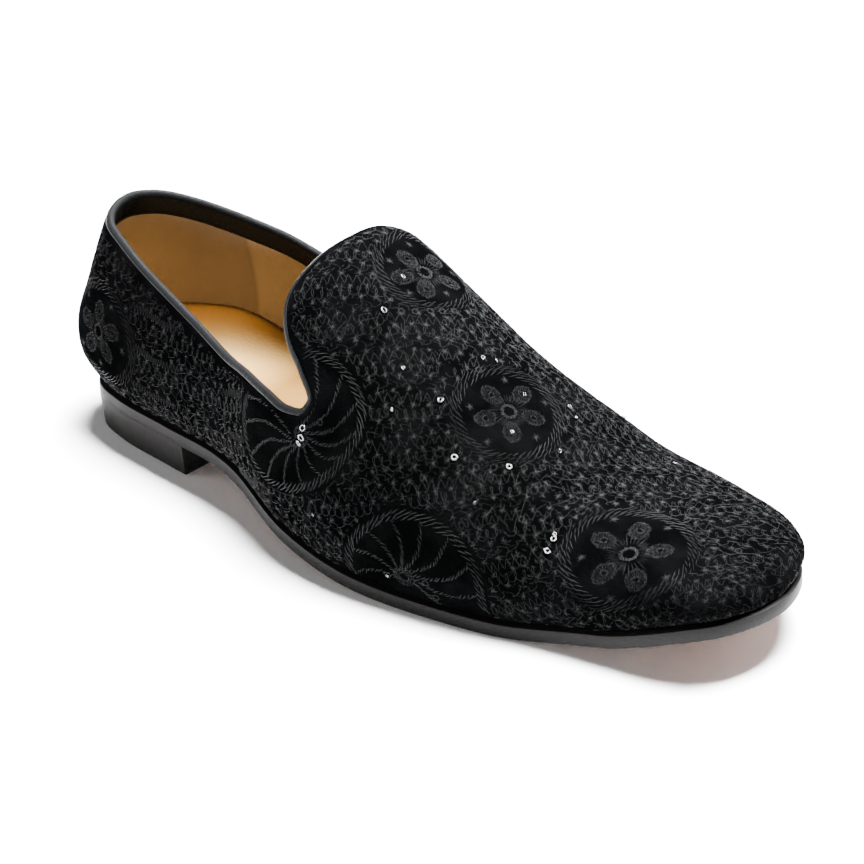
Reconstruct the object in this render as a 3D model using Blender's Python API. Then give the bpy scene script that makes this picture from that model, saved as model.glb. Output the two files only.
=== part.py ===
"""A man's low slip-on shoe for the right foot, empty and standing on its sole.

The toe points along +X, the inner side of the foot lies towards +Y and +Z is up. The origin is on the
ground, under the middle of the shoe. All lengths are in metres.

The shoe has an outsole lifted at the waist and sprung at the toe, a low heel block, an insole, a hollow
upper of one wall over the form of the foot, and a folded leather binding over the edge of its opening.
"""
from collections import namedtuple

import bmesh
import bpy
import numpy as np

# Driving dimensions
SHOE_LENGTH = 0.298        # outsole, from the back of the heel to the toe
BALL_WIDTH = 0.0995        # outsole, between the widest points of its outer and inner side
INSTEP_HEIGHT = 0.100      # from the top of the outsole to the crown of the foot at the tongue, full size
COLLAR_HEIGHT = 0.084      # level that the back's curve is drawn up to, 2 mm over the opening there
HEEL_HEIGHT = 0.0112       # heel block, from the ground to the outsole
HEEL_LENGTH = 0.0605       # heel block, from the back to its straight breast
TOE_SPRING = 0.017         # from the ground to the underside of the outsole at the toe
SOLE_THICKNESS = 0.0048
SOLE_EDGE_BEVEL = 0.0005
HEEL_TAPER = 0.0008        # how far the heel block draws in from its top to the ground
UPPER_WALL = 0.0022
FEATHER_INSET = 0.0020     # from the outsole's edge in to the foot of the upper
SIDE_SWELL = 0.0030        # how far the upper's sides swell out over the outsole's edge
SWELL_HEIGHT = 0.018       # from the outsole up to the widest level of the upper
BACK_SWELL = 0.0060        # how far the upper's back swells out behind the heel
COLLAR_LEAN = 0.0098       # how far the opening's back edge leans in over the heel
TOE_SWELL = 0.0025         # how far the upper's toe swells forward over the outsole
TOE_BOX_HEIGHT = 0.010     # height at which the toe has swollen forward fully
BED_THICKNESS = 0.0055     # insole with its heel pad, in the middle of the heel
BED_RIM = 0.0165           # how high the insole's edge curls up the wall at the heel
CUP_WIDTH = 0.013          # from the insole's edge in to its flat bed
BINDING_THICKNESS = 0.0007 # leather of the binding
BINDING_RISE = 0.0022      # how far the binding stands up over the upper's edge
BINDING_DEPTH = 0.0073     # how deep its inner leg reaches into the shoe
GAP = 0.0003               # clearance between curved pieces that meet

# Mesh density
HALF_RIBS = 41             # ribs from the back to the toe on one side, ends included
FINE = 4                   # how many times denser the ribs are while the form is measured
RINGS = 14                 # rings from the sole to the binding's lower edge, ends included
BAND_RINGS = 2             # rings from there to the opening
OUTLINE_POINTS = 41        # points along one side of the outsole, ends included
HEEL_POINTS = 25           # points along one side of the heel block
EDGE_SAMPLES = 400         # samples along the opening before its ribs are spaced
BACK_CROWDING = 1.5        # how much those samples crowd towards the back
SEARCH_STEPS = 48          # samples along a rib before its rings are spaced
MARCH_STEPS = 40           # steps outwards from a rib's centre before its surface is bracketed
MARCH_REACH = 0.194        # how far those steps go
HALVINGS = 18              # halvings of that bracket
SOLVER_STEPS = 6           # rounds in which the share of the length at a point is found
ROUND_TOP = (25, 60, 95, 130, 160)  # angles over the binding's round top, from outside to inside
SHARP_ANGLE = 60           # edges sharper than this keep their crease
CUP_CURVE = ((0.12, 0.90), (0.40, 0.42), (0.70, 0.11), (1.0, 0.0))  # inward and curl, shares of the cup
LOW_RINGS = 8              # rings among which the insole's edge lies
CROWDING = 0.7             # how much the rings of the longest rib crowd towards the toe
SHORT_RIB = 0.070          # ribs up to this length have even rings
LONG_RIB = 0.190
TINY = 1e-9

# The form of the foot, a row for each section from the back to the toe. at is a share of the length.
# outer, inner and crest are shares of the ball width: the outsole's outer edge, its inner edge and the
# line of the crown, each measured from the shoe's middle line. swell_outer and swell_inner are shares
# of SIDE_SWELL. rise is the crown's height over the outsole as a share of INSTEP_HEIGHT, and over the
# opening it is the height where the sides would meet. fullness is the power of the round section.
Section = namedtuple("Section", "at outer inner crest swell_outer swell_inner rise fullness")
SECTIONS = (
    Section(0.00, 0.000, 0.000, -0.010, 1.0, 1.0, 0.91, 1.90),
    Section(0.03, 0.195, 0.150, -0.010, 1.0, 1.0, 0.85, 2.04),
    Section(0.08, 0.256, 0.240, 0.000, 1.0, 1.0, 0.80, 2.18),
    Section(0.17, 0.296, 0.345, 0.012, 1.0, 1.0, 0.74, 2.32),
    Section(0.30, 0.355, 0.357, 0.012, 1.1, 1.4, 0.680, 2.46),
    Section(0.42, 0.488, 0.342, 0.015, 0.8, 1.7, 0.882, 2.51),
    Section(0.52, 0.534, 0.368, 0.000, 0.5, 1.5, 0.754, 2.24),
    Section(0.62, 0.511, 0.405, -0.005, 0.5, 0.9, 0.604, 2.10),
    Section(0.70, 0.472, 0.456, 0.000, 0.4, 0.5, 0.439, 2.21),
    Section(0.80, 0.391, 0.487, 0.020, 0.3, 0.3, 0.305, 2.21),
    Section(0.88, 0.344, 0.428, 0.025, 0.3, 0.3, 0.229, 2.35),
    Section(0.94, 0.298, 0.325, 0.020, 0.4, 0.5, 0.145, 2.70),
    Section(0.98, 0.215, 0.195, 0.010, 0.5, 0.6, 0.086, 2.80),
    Section(1.00, 0.000, 0.000, 0.000, 0.0, 0.0, 0.000, 2.80),
)

# The outsole's underside. at is the share of the way from the heel's breast to the toe, heel the share
# of HEEL_HEIGHT and toe the share of TOE_SPRING that the underside stands at.
Lift = namedtuple("Lift", "at heel toe")
UNDERSIDE = (
    Lift(0.000, 1.00, 0.00),
    Lift(0.040, 1.00, 0.00),
    Lift(0.085, 0.95, 0.00),
    Lift(0.177, 0.74, 0.00),
    Lift(0.304, 0.32, 0.00),
    Lift(0.443, 0.06, 0.00),
    Lift(0.519, 0.00, 0.00),
    Lift(0.646, 0.00, 0.00),
    Lift(0.810, 0.00, 0.30),
    Lift(1.000, 0.00, 1.00),
)

# The back's curve. up is the share of the way from the outsole to the collar, swell the share of
# BACK_SWELL that the back stands out there, and lean the share of COLLAR_LEAN that it leans in.
Back = namedtuple("Back", "up swell lean")
BACK_CURVE = (
    Back(0.00, -0.40, 0.00),
    Back(0.15, 0.85, 0.00),
    Back(0.30, 1.08, 0.00),
    Back(0.60, 0.10, 0.12),
    Back(0.89, -0.10, 0.68),
    Back(1.00, 0.00, 1.00),
    Back(1.20, 0.00, 1.50),
)

# The edge of the opening, from the back to the middle of the tongue, the same on both sides. at is a
# share of the length, girth the angle up the round section in degrees, and foot the share of the length
# from which the rib that ends there starts at the outsole.
Edge = namedtuple("Edge", "at girth foot")
OPENING = (
    Edge(0.000, 44.5, 0.000),
    Edge(0.008, 45.1, 0.006),
    Edge(0.032, 47.1, 0.026),
    Edge(0.080, 47.0, 0.075),
    Edge(0.160, 43.5, 0.150),
    Edge(0.245, 40.4, 0.235),
    Edge(0.330, 35.9, 0.320),
    Edge(0.400, 32.2, 0.390),
    Edge(0.440, 32.2, 0.475),
    Edge(0.468, 36.0, 0.590),
    Edge(0.477, 41.0, 0.700),
    Edge(0.455, 46.4, 0.800),
    Edge(0.425, 51.0, 0.880),
    Edge(0.401, 60.0, 0.940),
    Edge(0.397, 76.0, 0.975),
    Edge(0.397, 90.0, 1.000),
)

# The insole. at is a share of the length, bed the share of BED_THICKNESS in the middle there, and rim
# the share of BED_RIM that its edge curls up.
Bed = namedtuple("Bed", "at bed rim")
INSOLE = (
    Bed(0.00, 1.00, 0.80),
    Bed(0.05, 1.00, 0.93),
    Bed(0.10, 1.00, 1.00),
    Bed(0.14, 0.95, 0.78),
    Bed(0.18, 0.85, 0.56),
    Bed(0.25, 0.70, 0.38),
    Bed(0.35, 0.55, 0.26),
    Bed(0.60, 0.45, 0.17),
    Bed(0.85, 0.45, 0.15),
    Bed(1.00, 0.45, 0.15),
)

BACK_REACH = 0.30          # share of the length over which the back's curve fades out
TOE_REACH = 0.20           # share of the length over which the toe's swelling fades out
SWELL_FADE = 0.020         # half width under which the side swelling fades out, at the ends
SWELL_SHARE = 0.38         # widest level as a share of a low section's height
CENTRE_AT = (0.12, 0.84)   # shares of the length between which the ribs' centres stay
CENTRE_SIDE = 0.5          # how far those centres lie towards the rib's own foot
CENTRE_RISE = 0.35         # height of those centres as a share of the section's height
CENTRE_LIMIT = 0.060       # section height that counts for that at most
NUDGE = 0.002              # step over the form by which a normal is measured
PUT_REACH = 0.012          # how far a point is moved at most to lie on the form

OUTER, INNER = -1, 1
UPPER_LENGTH = SHOE_LENGTH - FEATHER_INSET
BREAST_AT = HEEL_LENGTH / SHOE_LENGTH


def column(table, name):
    """One named column of a table as an array."""
    return np.array([getattr(row, name) for row in table], dtype=float)


def hermite(xs, ys, slopes, x):
    """Cubic curve through the points with the given slopes."""
    x = np.clip(x, xs[0], xs[-1])
    k = np.clip(np.searchsorted(xs, x, side="right") - 1, 0, len(xs) - 2)
    h = xs[k + 1] - xs[k]
    t = (x - xs[k]) / h
    start = (1 + 2 * t) * (1 - t) ** 2 * ys[k] + t * (1 - t) ** 2 * h * slopes[k]
    end = t**2 * (3 - 2 * t) * ys[k + 1] + t**2 * (t - 1) * h * slopes[k + 1]
    return start + end


def smooth(xs, ys, x):
    """Smooth curve through the points."""
    h = np.diff(xs)
    d = np.diff(ys) / h
    slopes = np.zeros(len(xs))
    slopes[1:-1] = (d[1:] * h[:-1] + d[:-1] * h[1:]) / (h[1:] + h[:-1])
    slopes[0] = 1.5 * d[0] - 0.5 * slopes[1]
    slopes[-1] = 1.5 * d[-1] - 0.5 * slopes[-2]
    return hermite(xs, ys, slopes, x)


def steady(xs, ys, x):
    """Smooth curve through the points that never swings past them, so equal rows stay flat."""
    d = np.diff(ys) / np.diff(xs)
    slopes = np.zeros(len(xs))
    same_way = d[1:] * d[:-1] > 0
    slopes[1:-1] = np.where(same_way, 2 * d[1:] * d[:-1] / (d[1:] + d[:-1] + TINY), 0)
    return hermite(xs, ys, slopes, x)


def section_value(name, u):
    return smooth(column(SECTIONS, "at"), column(SECTIONS, name), u)


def round_ended(values, u):
    """A width or height of the sections that closes in a round end where its rows say 0."""
    return np.sqrt(np.maximum(smooth(column(SECTIONS, "at"), values**2, u), 0))


def underside(u):
    """Height of the outsole's underside at a share of the length."""
    s = (u - BREAST_AT) / (1 - BREAST_AT)
    at = column(UNDERSIDE, "at")
    heel = steady(at, column(UNDERSIDE, "heel"), s) * HEEL_HEIGHT
    toe = steady(at, column(UNDERSIDE, "toe"), s) * TOE_SPRING
    return heel + toe


def sole_top(u):
    return underside(u) + SOLE_THICKNESS


def feather(u):
    """Height of the upper's foot."""
    return sole_top(u) + GAP


def crest(u):
    return section_value("crest", u) * BALL_WIDTH


def sole_half_width(u, side):
    """From the crown's line to the outsole's edge on one side."""
    middle = column(SECTIONS, "crest")
    edge = column(SECTIONS, "outer") + middle if side == OUTER else column(SECTIONS, "inner") - middle
    edge[0] = 0
    edge[-1] = 0
    return round_ended(edge, u) * BALL_WIDTH


def crown(u):
    """Height of the section's top."""
    return feather(u) + round_ended(column(SECTIONS, "rise"), u) * INSTEP_HEIGHT


def half_width(u, z, side):
    """From the crown's line to the upper's outer face, at a share of the length and a height."""
    sole = sole_half_width(u, side)
    swell = section_value("swell_outer" if side == OUTER else "swell_inner", u) * SIDE_SWELL
    fade = np.clip(sole / SWELL_FADE, 0, 1)
    body = sole + swell * fade
    foot = sole - FEATHER_INSET * fade
    low = feather(u)
    high = crown(u)
    level = low + np.minimum(SWELL_HEIGHT, SWELL_SHARE * (high - low))
    power = section_value("fullness", u)
    over = np.clip((z - level) / np.maximum(high - level, TINY), 0, 1)
    under = np.clip((level - z) / np.maximum(level - low, TINY), 0, 1)
    return np.where(z > level, body * (1 - over**power) ** (1 / power), body - (body - foot) * under**2)


def fore_shift(u, z):
    """How far the back's curve and the toe's swelling move a point forward."""
    seat = HEEL_HEIGHT + SOLE_THICKNESS
    up = (z - seat) / (COLLAR_HEIGHT - seat)
    rows = column(BACK_CURVE, "up")
    back = COLLAR_LEAN * smooth(rows, column(BACK_CURVE, "lean"), up)
    back = back - BACK_SWELL * smooth(rows, column(BACK_CURVE, "swell"), up)
    rise = np.clip((z - sole_top(1.0)) / TOE_BOX_HEIGHT, 0, 1)
    toe = TOE_SWELL * rise * (2 - rise)
    return back * np.clip(1 - u / BACK_REACH, 0, 1) ** 1.5 + toe * np.clip(1 - (1 - u) / TOE_REACH, 0, 1) ** 2


def share_at(x, z):
    """The share of the length whose section passes through x at the height z."""
    u = np.clip(x / UPPER_LENGTH, 0, 1)
    for _ in range(SOLVER_STEPS):
        u = np.clip((x - fore_shift(u, z)) / UPPER_LENGTH, 0, 1)
    return u


def on_form(u, girth, side):
    """Point of the form at a share of the length and an angle up its round section."""
    low = feather(u)
    z = low + (crown(u) - low) * np.sin(np.radians(np.clip(girth, 0, 90)))
    return np.stack([u * UPPER_LENGTH + fore_shift(u, z), crest(u) + side * half_width(u, z, side), z], axis=-1)


def within(points):
    """Whether points lie inside the form."""
    x, y, z = points[..., 0], points[..., 1], points[..., 2]
    u = share_at(x, z)
    middle = crest(u)
    reach = np.where(y < middle, half_width(u, z, OUTER), half_width(u, z, INNER))
    after_back = x > fore_shift(np.zeros_like(u), z)
    before_toe = x < UPPER_LENGTH + fore_shift(np.ones_like(u), z)
    return (z < crown(u)) & (np.abs(y - middle) < reach) & after_back & before_toe


def arc(points):
    """Length along a run of points, as a share of the whole."""
    steps = np.linalg.norm(np.diff(points, axis=0), axis=-1)
    along = np.concatenate([[0], np.cumsum(steps)])
    return along / along[-1]


def opening_ribs(side):
    """Where the ribs of one side end at the opening and start at the outsole, evenly spaced on both."""
    at, girth, foot = column(OPENING, "at"), column(OPENING, "girth"), column(OPENING, "foot")
    knots = arc(on_form(at, girth, side))
    t = np.linspace(0, 1, EDGE_SAMPLES) ** BACK_CROWDING
    at, girth, foot = smooth(knots, at, t), smooth(knots, girth, t), steady(knots, foot, t)
    at = np.maximum(at, 0)
    girth = np.minimum(girth, 90)
    spread = (arc(on_form(at, girth, side)) + arc(on_form(foot, np.zeros_like(foot), side))) / 2
    want = np.linspace(0, 1, FINE * (HALF_RIBS - 1) + 1)
    return np.interp(want, spread, at), np.interp(want, spread, girth), np.interp(want, spread, foot)


def rays(start, end, centre):
    """Directions from each rib's centre that turn evenly from its start to its end."""
    a = (start - centre) / np.linalg.norm(start - centre, axis=-1, keepdims=True)
    b = (end - centre) / np.linalg.norm(end - centre, axis=-1, keepdims=True)
    angle = np.arccos(np.clip((a * b).sum(axis=-1), -1, 1))[:, None, None]
    s = np.linspace(0, 1, SEARCH_STEPS)[None, :, None]
    return (np.sin((1 - s) * angle) * a[:, None] + np.sin(s * angle) * b[:, None]) / np.sin(angle)


def first_exit(centre, direction):
    """How far along each direction the form's surface lies."""
    shape = direction.shape[:2]
    near = np.zeros(shape)
    far = np.full(shape, SHOE_LENGTH)
    found = np.zeros(shape, dtype=bool)
    for r in np.linspace(0, MARCH_REACH, MARCH_STEPS)[1:]:
        outside = ~within(centre[:, None] + direction * r)
        far = np.where(outside & ~found, r, far)
        found |= outside
        near = np.where(found, near, r)
    for _ in range(HALVINGS):
        middle = (near + far) / 2
        inside = within(centre[:, None] + direction * middle[..., None])
        near = np.where(inside, middle, near)
        far = np.where(inside, far, middle)
    return far


def put_on_form(points, normal):
    """Moves points along the normal onto the form's surface."""
    near = points - normal * PUT_REACH
    far = points + normal * PUT_REACH
    for _ in range(HALVINGS):
        middle = (near + far) / 2
        inside = within(middle)[..., None]
        near = np.where(inside, middle, near)
        far = np.where(inside, far, middle)
    return far


def divided(rib, count):
    """A rib with its points spaced anew, closer together at the foot where the rib is long."""
    along = np.concatenate([[0], np.cumsum(np.linalg.norm(np.diff(rib, axis=0), axis=-1))])
    power = 1 + CROWDING * np.clip((along[-1] - SHORT_RIB) / (LONG_RIB - SHORT_RIB), 0, 1)
    want = along[-1] * np.linspace(0, 1, count) ** power
    return np.stack([np.interp(want, along, rib[:, k]) for k in range(3)], axis=-1)


def run_from_foot(start, end, foot):
    """Ribs over the form from the outsole to the given ends."""
    middle = np.clip(foot, *CENTRE_AT)
    low = feather(middle)
    centre_z = low + CENTRE_RISE * np.minimum(crown(middle) - low, CENTRE_LIMIT)
    centre_y = crest(middle) + CENTRE_SIDE * (start[:, 1] - crest(foot))
    centre = np.stack([middle * SHOE_LENGTH, centre_y, centre_z], axis=-1)
    direction = rays(start, end, centre)
    points = centre[:, None] + direction * first_exit(centre, direction)[..., None]
    points[:, 0] = start
    points[:, -1] = end
    return points


def side_ends(side):
    """The feet of one side's ribs, their ends at the opening, the normals there and the feet's shares."""
    at, girth, foot = opening_ribs(side)
    return on_form(foot, np.zeros_like(foot), side), on_form(at, girth, side), normal_at(at, girth, side), foot


def all_round(outer, inner):
    """One run round the shoe: the outer side from back to toe, then the inner side from toe to back."""
    seam = (outer[[0, -1]] + inner[[0, -1]]) / 2
    outer = outer.copy()
    outer[[0, -1]] = seam
    return np.concatenate([outer, inner[-2:0:-1]])


def normal_at(at, girth, side):
    """Outward unit normal of the form."""
    step_at = on_form(np.minimum(at + NUDGE, 1), girth, side) - on_form(np.maximum(at - NUDGE, 0), girth, side)
    turn = np.degrees(NUDGE)
    step_up = on_form(at, girth + turn, side) - on_form(at, girth - turn, side)
    normal = np.cross(step_at, step_up) * -side
    return normal / np.linalg.norm(normal, axis=-1, keepdims=True)


def up_over(edge, normal):
    """The way up over the opening's edge, square to it and in the wall."""
    along = np.roll(edge, -1, axis=0) - np.roll(edge, 1, axis=0)
    up = np.cross(normal, along)
    return up / np.linalg.norm(up, axis=-1, keepdims=True)


def whole_grid():
    """Points and outward normals of the upper's outer face, ribs by rings from the outsole up."""
    outer, inner = side_ends(OUTER), side_ends(INNER)
    start, edge, normal, foot = (all_round(a, b) for a, b in zip(outer, inner))
    normal /= np.linalg.norm(normal, axis=-1, keepdims=True)
    up = up_over(edge, normal)
    band = [put_on_form(edge - up * BINDING_DEPTH * k / BAND_RINGS, normal) for k in range(BAND_RINGS + 1)]
    band[0] = edge
    ribs = run_from_foot(start, band[-1], foot)
    low = np.array([divided(rib, RINGS) for rib in ribs])
    grid = np.concatenate([low] + [ring[:, None] for ring in band[-2::-1]], axis=1)
    normals = face_normals(grid)
    return grid[::FINE], normals[::FINE], up[::FINE]


def face_normals(grid):
    """Outward unit normal at each point of the whole grid."""
    around = np.roll(grid, -1, axis=0) - np.roll(grid, 1, axis=0)
    up = np.gradient(grid, axis=1)
    normal = np.cross(around, up)
    return normal / np.linalg.norm(normal, axis=-1, keepdims=True)


def collection_object(name, mesh, colour, roughness, metallic=0.0, coat=0.0):
    """A smooth shaded object with its own material."""
    material = bpy.data.materials.new(name)
    material.use_nodes = True
    shader = material.node_tree.nodes["Principled BSDF"]
    shader.inputs["Base Color"].default_value = (*colour, 1.0)
    shader.inputs["Roughness"].default_value = roughness
    shader.inputs["Metallic"].default_value = metallic
    shader.inputs["Coat Weight"].default_value = coat
    mesh.materials.append(material)
    mesh.shade_smooth()
    mesh.set_sharp_from_angle(angle=np.radians(SHARP_ANGLE))
    item = bpy.data.objects.new(name, mesh)
    bpy.context.scene.collection.objects.link(item)
    return item


def mesh_from(name, bm):
    bmesh.ops.recalc_face_normals(bm, faces=bm.faces)
    mesh = bpy.data.meshes.new(name)
    bm.to_mesh(mesh)
    bm.free()
    return mesh


def loop_of(bm, points, closed=True):
    """A run of vertices and the edges between them."""
    verts = [bm.verts.new(p) for p in points]
    edges = [bm.edges.new(pair) for pair in zip(verts, verts[1:])]
    if closed:
        edges.append(bm.edges.new((verts[-1], verts[0])))
    return edges


def bridge_all(bm, loops):
    """Skins between each loop and the next."""
    for first, second in zip(loops, loops[1:]):
        bmesh.ops.bridge_loops(bm, edges=first + second)


def drawn_in_outline(outline, inset):
    """A plan outline, from the back along the outer side to the toe and back, moved in by inset."""
    ahead = np.roll(outline, -1, axis=0) - np.roll(outline, 1, axis=0)
    inward = np.stack([-ahead[:, 1], ahead[:, 0]], axis=-1)
    return outline + inward / np.linalg.norm(inward, axis=-1, keepdims=True) * inset


def sole_outline(inset):
    """Plan of the outsole's edge, moved in by inset."""
    u = (1 - np.cos(np.linspace(0, np.pi, OUTLINE_POINTS))) / 2
    outer = np.stack([u * SHOE_LENGTH, crest(u) - sole_half_width(u, OUTER)], axis=-1)
    inner = np.stack([u * SHOE_LENGTH, crest(u) + sole_half_width(u, INNER)], axis=-1)
    return drawn_in_outline(np.concatenate([outer, inner[-2:0:-1]]), inset)


def flat_layer(outline, height):
    """The outline at the height that a function gives for each share of the length."""
    u = np.clip(outline[:, 0] / SHOE_LENGTH, 0, 1)
    return np.column_stack([outline, height(u)])


def cap_across(bm, loop, upwards):
    """Faces across the sole between its outer and inner side, a strip for each step of the length."""
    verts = [edge.verts[0] for edge in loop]
    count = len(verts)
    for i in range(1, count // 2 - 1):
        corners = [verts[i], verts[i + 1], verts[count - i - 1], verts[count - i]]
        bm.faces.new(corners if upwards else corners[::-1])
    for tip, side in ((0, 1), (count // 2, count // 2 - 1)):
        bm.faces.new([verts[tip], verts[side], verts[count - side]])


def plate(name, layers):
    """A closed plate from a stack of outlines that all have the same number of points."""
    bm = bmesh.new()
    loops = []
    for layer in layers:
        verts = [bm.verts.new(p) for p in layer]
        loops.append([bm.edges.new((a, b)) for a, b in zip(verts, verts[1:] + verts[:1])])
    bridge_all(bm, loops)
    cap_across(bm, loops[0], upwards=False)
    cap_across(bm, loops[-1], upwards=True)
    return mesh_from(name, bm)


def outsole():
    bevel = SOLE_EDGE_BEVEL
    edge = sole_outline(0.0)
    drawn_in = sole_outline(bevel)
    layers = [
        flat_layer(drawn_in, underside),
        flat_layer(edge, lambda u: underside(u) + bevel),
        flat_layer(edge, lambda u: sole_top(u) - bevel),
        flat_layer(drawn_in, sole_top),
    ]
    return collection_object("outsole", plate("outsole", layers), (0.012, 0.012, 0.013), 0.42)


def heel():
    """The heel block, flush with the outsole over it and straight across at its breast."""
    u = BREAST_AT * np.linspace(0, 1, HEEL_POINTS) ** 2
    layers = []
    for height, inset in ((0.0, HEEL_TAPER), (HEEL_HEIGHT, 0.0)):
        half_outer = np.maximum(sole_half_width(u, OUTER) - inset, 0)
        half_inner = np.maximum(sole_half_width(u, INNER) - inset, 0)
        x = inset + u * SHOE_LENGTH * (1 - inset / HEEL_LENGTH)
        z = np.full_like(u, height)
        outer = np.column_stack([x, crest(u) - half_outer, z])
        inner = np.column_stack([x, crest(u) + half_inner, z])
        layers.append(np.concatenate([outer, inner[:0:-1]]))
    bm = bmesh.new()
    loops = [loop_of(bm, layer) for layer in layers]
    bridge_all(bm, loops)
    for loop in loops:
        bmesh.ops.contextual_create(bm, geom=loop)
    return collection_object("heel", mesh_from("heel", bm), (0.015, 0.015, 0.016), 0.38)


def bed_value(name, x):
    return steady(column(INSOLE, "at"), column(INSOLE, name), np.clip(x / SHOE_LENGTH, 0, 1))


def up_the_wall(inside, rise):
    """Points of the inner face at a rise over its foot, one on each rib."""
    found = []
    for rib, z in zip(inside, inside[:, 0, 2] + rise):
        found.append([np.interp(z, rib[:LOW_RINGS, 2], rib[:LOW_RINGS, k]) for k in range(3)])
    return np.array(found)


def insole(inside):
    """Foot bed on the outsole that fills the upper's foot, with an edge that curls up the wall."""
    foot = inside[:, 0]
    rim = bed_value("rim", foot[:, 0]) * BED_RIM
    bed = bed_value("bed", foot[:, 0]) * BED_THICKNESS
    layers = []
    for rise in (0.0, 0.5, 1.0):
        ring = up_the_wall(inside, rim * rise)
        layers.append(np.column_stack([drawn_in_outline(ring[:, :2], GAP), ring[:, 2]]))
    edge = layers[-1][:, :2]
    for inward, curl in CUP_CURVE:
        height = foot[:, 2] + bed + (rim - bed) * curl
        layers.append(np.column_stack([drawn_in_outline(edge, CUP_WIDTH * inward), height]))
    return collection_object("insole", plate("insole", layers), (0.62, 0.40, 0.20), 0.55)


def inner_face(grid, normals):
    """The upper's inner face, a wall's thickness inside the form and level with it at the foot."""
    inside = grid - normals * UPPER_WALL
    inside[:, 0, 2] = grid[:, 0, 2]
    return inside


def upper(grid, inside):
    """One wall all round, open at the collar and underneath."""
    bm = bmesh.new()
    rings = [loop_of(bm, ring) for ring in np.swapaxes(grid, 0, 1)]
    rings += [loop_of(bm, ring) for ring in np.swapaxes(inside, 0, 1)[::-1]]
    bridge_all(bm, rings + rings[:1])
    return collection_object("upper", mesh_from("upper", bm), (0.010, 0.010, 0.011), 0.85)


def topline_binding(grid, normals, up):
    """Folded leather over the upper's edge: a round top and a deep leg turned inside."""
    edge = grid[:, -1]
    out = normals[:, -1]
    leg_face = -(UPPER_WALL + GAP)
    inner_face_at = leg_face - BINDING_THICKNESS
    levels = range(-BAND_RINGS - 1, 0)
    tracks = [grid[:, k] + normals[:, k] * leg_face for k in levels]
    tracks += [edge + out * leg_face + up * GAP, edge + up * GAP]
    for turn in np.radians(ROUND_TOP):
        across = inner_face_at / 2 * (1 - np.cos(turn))
        tracks.append(edge + out * across + up * (GAP + BINDING_RISE * np.sin(turn)))
    tracks += [grid[:, k] + normals[:, k] * inner_face_at for k in levels[::-1]]
    bm = bmesh.new()
    loops = [loop_of(bm, track) for track in tracks]
    bridge_all(bm, loops + loops[:1])
    return collection_object("topline_binding", mesh_from("topline_binding", bm), (0.014, 0.014, 0.015), 0.3)


def stand_on_origin(items):
    """Moves the pieces together so that the middle of the shoe's footprint is at the origin."""
    corners = np.array([vert.co for item in items for vert in item.data.vertices])
    middle = (corners.min(axis=0) + corners.max(axis=0)) / 2
    for item in items:
        item.location = (-middle[0], -middle[1], 0.0)


def main():
    for old in list(bpy.data.objects):
        bpy.data.objects.remove(old)
    grid, normals, up = whole_grid()
    inside = inner_face(grid, normals)
    items = [outsole(), heel(), insole(inside), upper(grid, inside), topline_binding(grid, normals, up)]
    stand_on_origin(items)


main()
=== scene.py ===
from collections import namedtuple

import bmesh
import bpy
import numpy as np
from mathutils import Matrix, Vector
from mathutils.bvhtree import BVHTree


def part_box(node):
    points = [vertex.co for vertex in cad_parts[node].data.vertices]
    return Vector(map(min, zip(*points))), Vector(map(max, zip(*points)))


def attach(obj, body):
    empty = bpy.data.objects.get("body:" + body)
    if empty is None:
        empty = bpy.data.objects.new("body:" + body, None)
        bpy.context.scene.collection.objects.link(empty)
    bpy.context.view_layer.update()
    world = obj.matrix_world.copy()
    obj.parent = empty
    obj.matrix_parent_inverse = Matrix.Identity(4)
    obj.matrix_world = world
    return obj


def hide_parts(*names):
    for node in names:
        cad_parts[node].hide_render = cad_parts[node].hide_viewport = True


# The slip-on of the frame with its finished skin: black velvet with grey embroidery and silver sequins,
# leather binding, lining and sock, painted sole edge and heel. The form of the foot is the same as in the
# part, with its back at x = 0, and everything is moved onto the frame's pieces at the end.
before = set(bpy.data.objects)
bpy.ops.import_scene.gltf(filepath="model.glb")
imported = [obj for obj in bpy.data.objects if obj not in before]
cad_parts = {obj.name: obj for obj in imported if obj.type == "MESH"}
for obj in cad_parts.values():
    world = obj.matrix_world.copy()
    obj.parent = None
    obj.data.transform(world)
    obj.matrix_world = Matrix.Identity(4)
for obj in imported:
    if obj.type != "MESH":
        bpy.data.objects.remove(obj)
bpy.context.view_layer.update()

# Driving dimensions
SHOE_LENGTH = 0.298        # outsole, from the back of the heel to the toe
BALL_WIDTH = 0.0995        # outsole, between the widest points of its outer and inner side
INSTEP_HEIGHT = 0.100      # from the top of the outsole to the crown of the foot at the tongue, full size
COLLAR_HEIGHT = 0.084      # level that the back's curve is drawn up to, 2 mm over the opening there
HEEL_HEIGHT = 0.0112       # heel block, from the ground to the outsole
HEEL_LENGTH = 0.0605       # heel block, from the back to its straight breast
TOE_SPRING = 0.017         # from the ground to the underside of the outsole at the toe
SOLE_THICKNESS = 0.0048
SOLE_EDGE_BEVEL = 0.0005
HEEL_TAPER = 0.0008        # how far the heel block draws in from its top to the ground
UPPER_WALL = 0.0022
FEATHER_INSET = 0.0020     # from the outsole's edge in to the foot of the upper
SIDE_SWELL = 0.0030        # how far the upper's sides swell out over the outsole's edge
SWELL_HEIGHT = 0.018       # from the outsole up to the widest level of the upper
BACK_SWELL = 0.0060        # how far the upper's back swells out behind the heel
COLLAR_LEAN = 0.0098       # how far the opening's back edge leans in over the heel
TOE_SWELL = 0.0025         # how far the upper's toe swells forward over the outsole
TOE_BOX_HEIGHT = 0.010     # height at which the toe has swollen forward fully
BED_THICKNESS = 0.0055     # insole with its heel pad, in the middle of the heel
BED_RIM = 0.0165           # how high the insole's edge curls up the wall at the heel
CUP_WIDTH = 0.013          # from the insole's edge in to its flat bed
BINDING_THICKNESS = 0.0007 # leather of the binding
BINDING_RISE = 0.0022      # how far the binding stands up over the upper's edge
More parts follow.
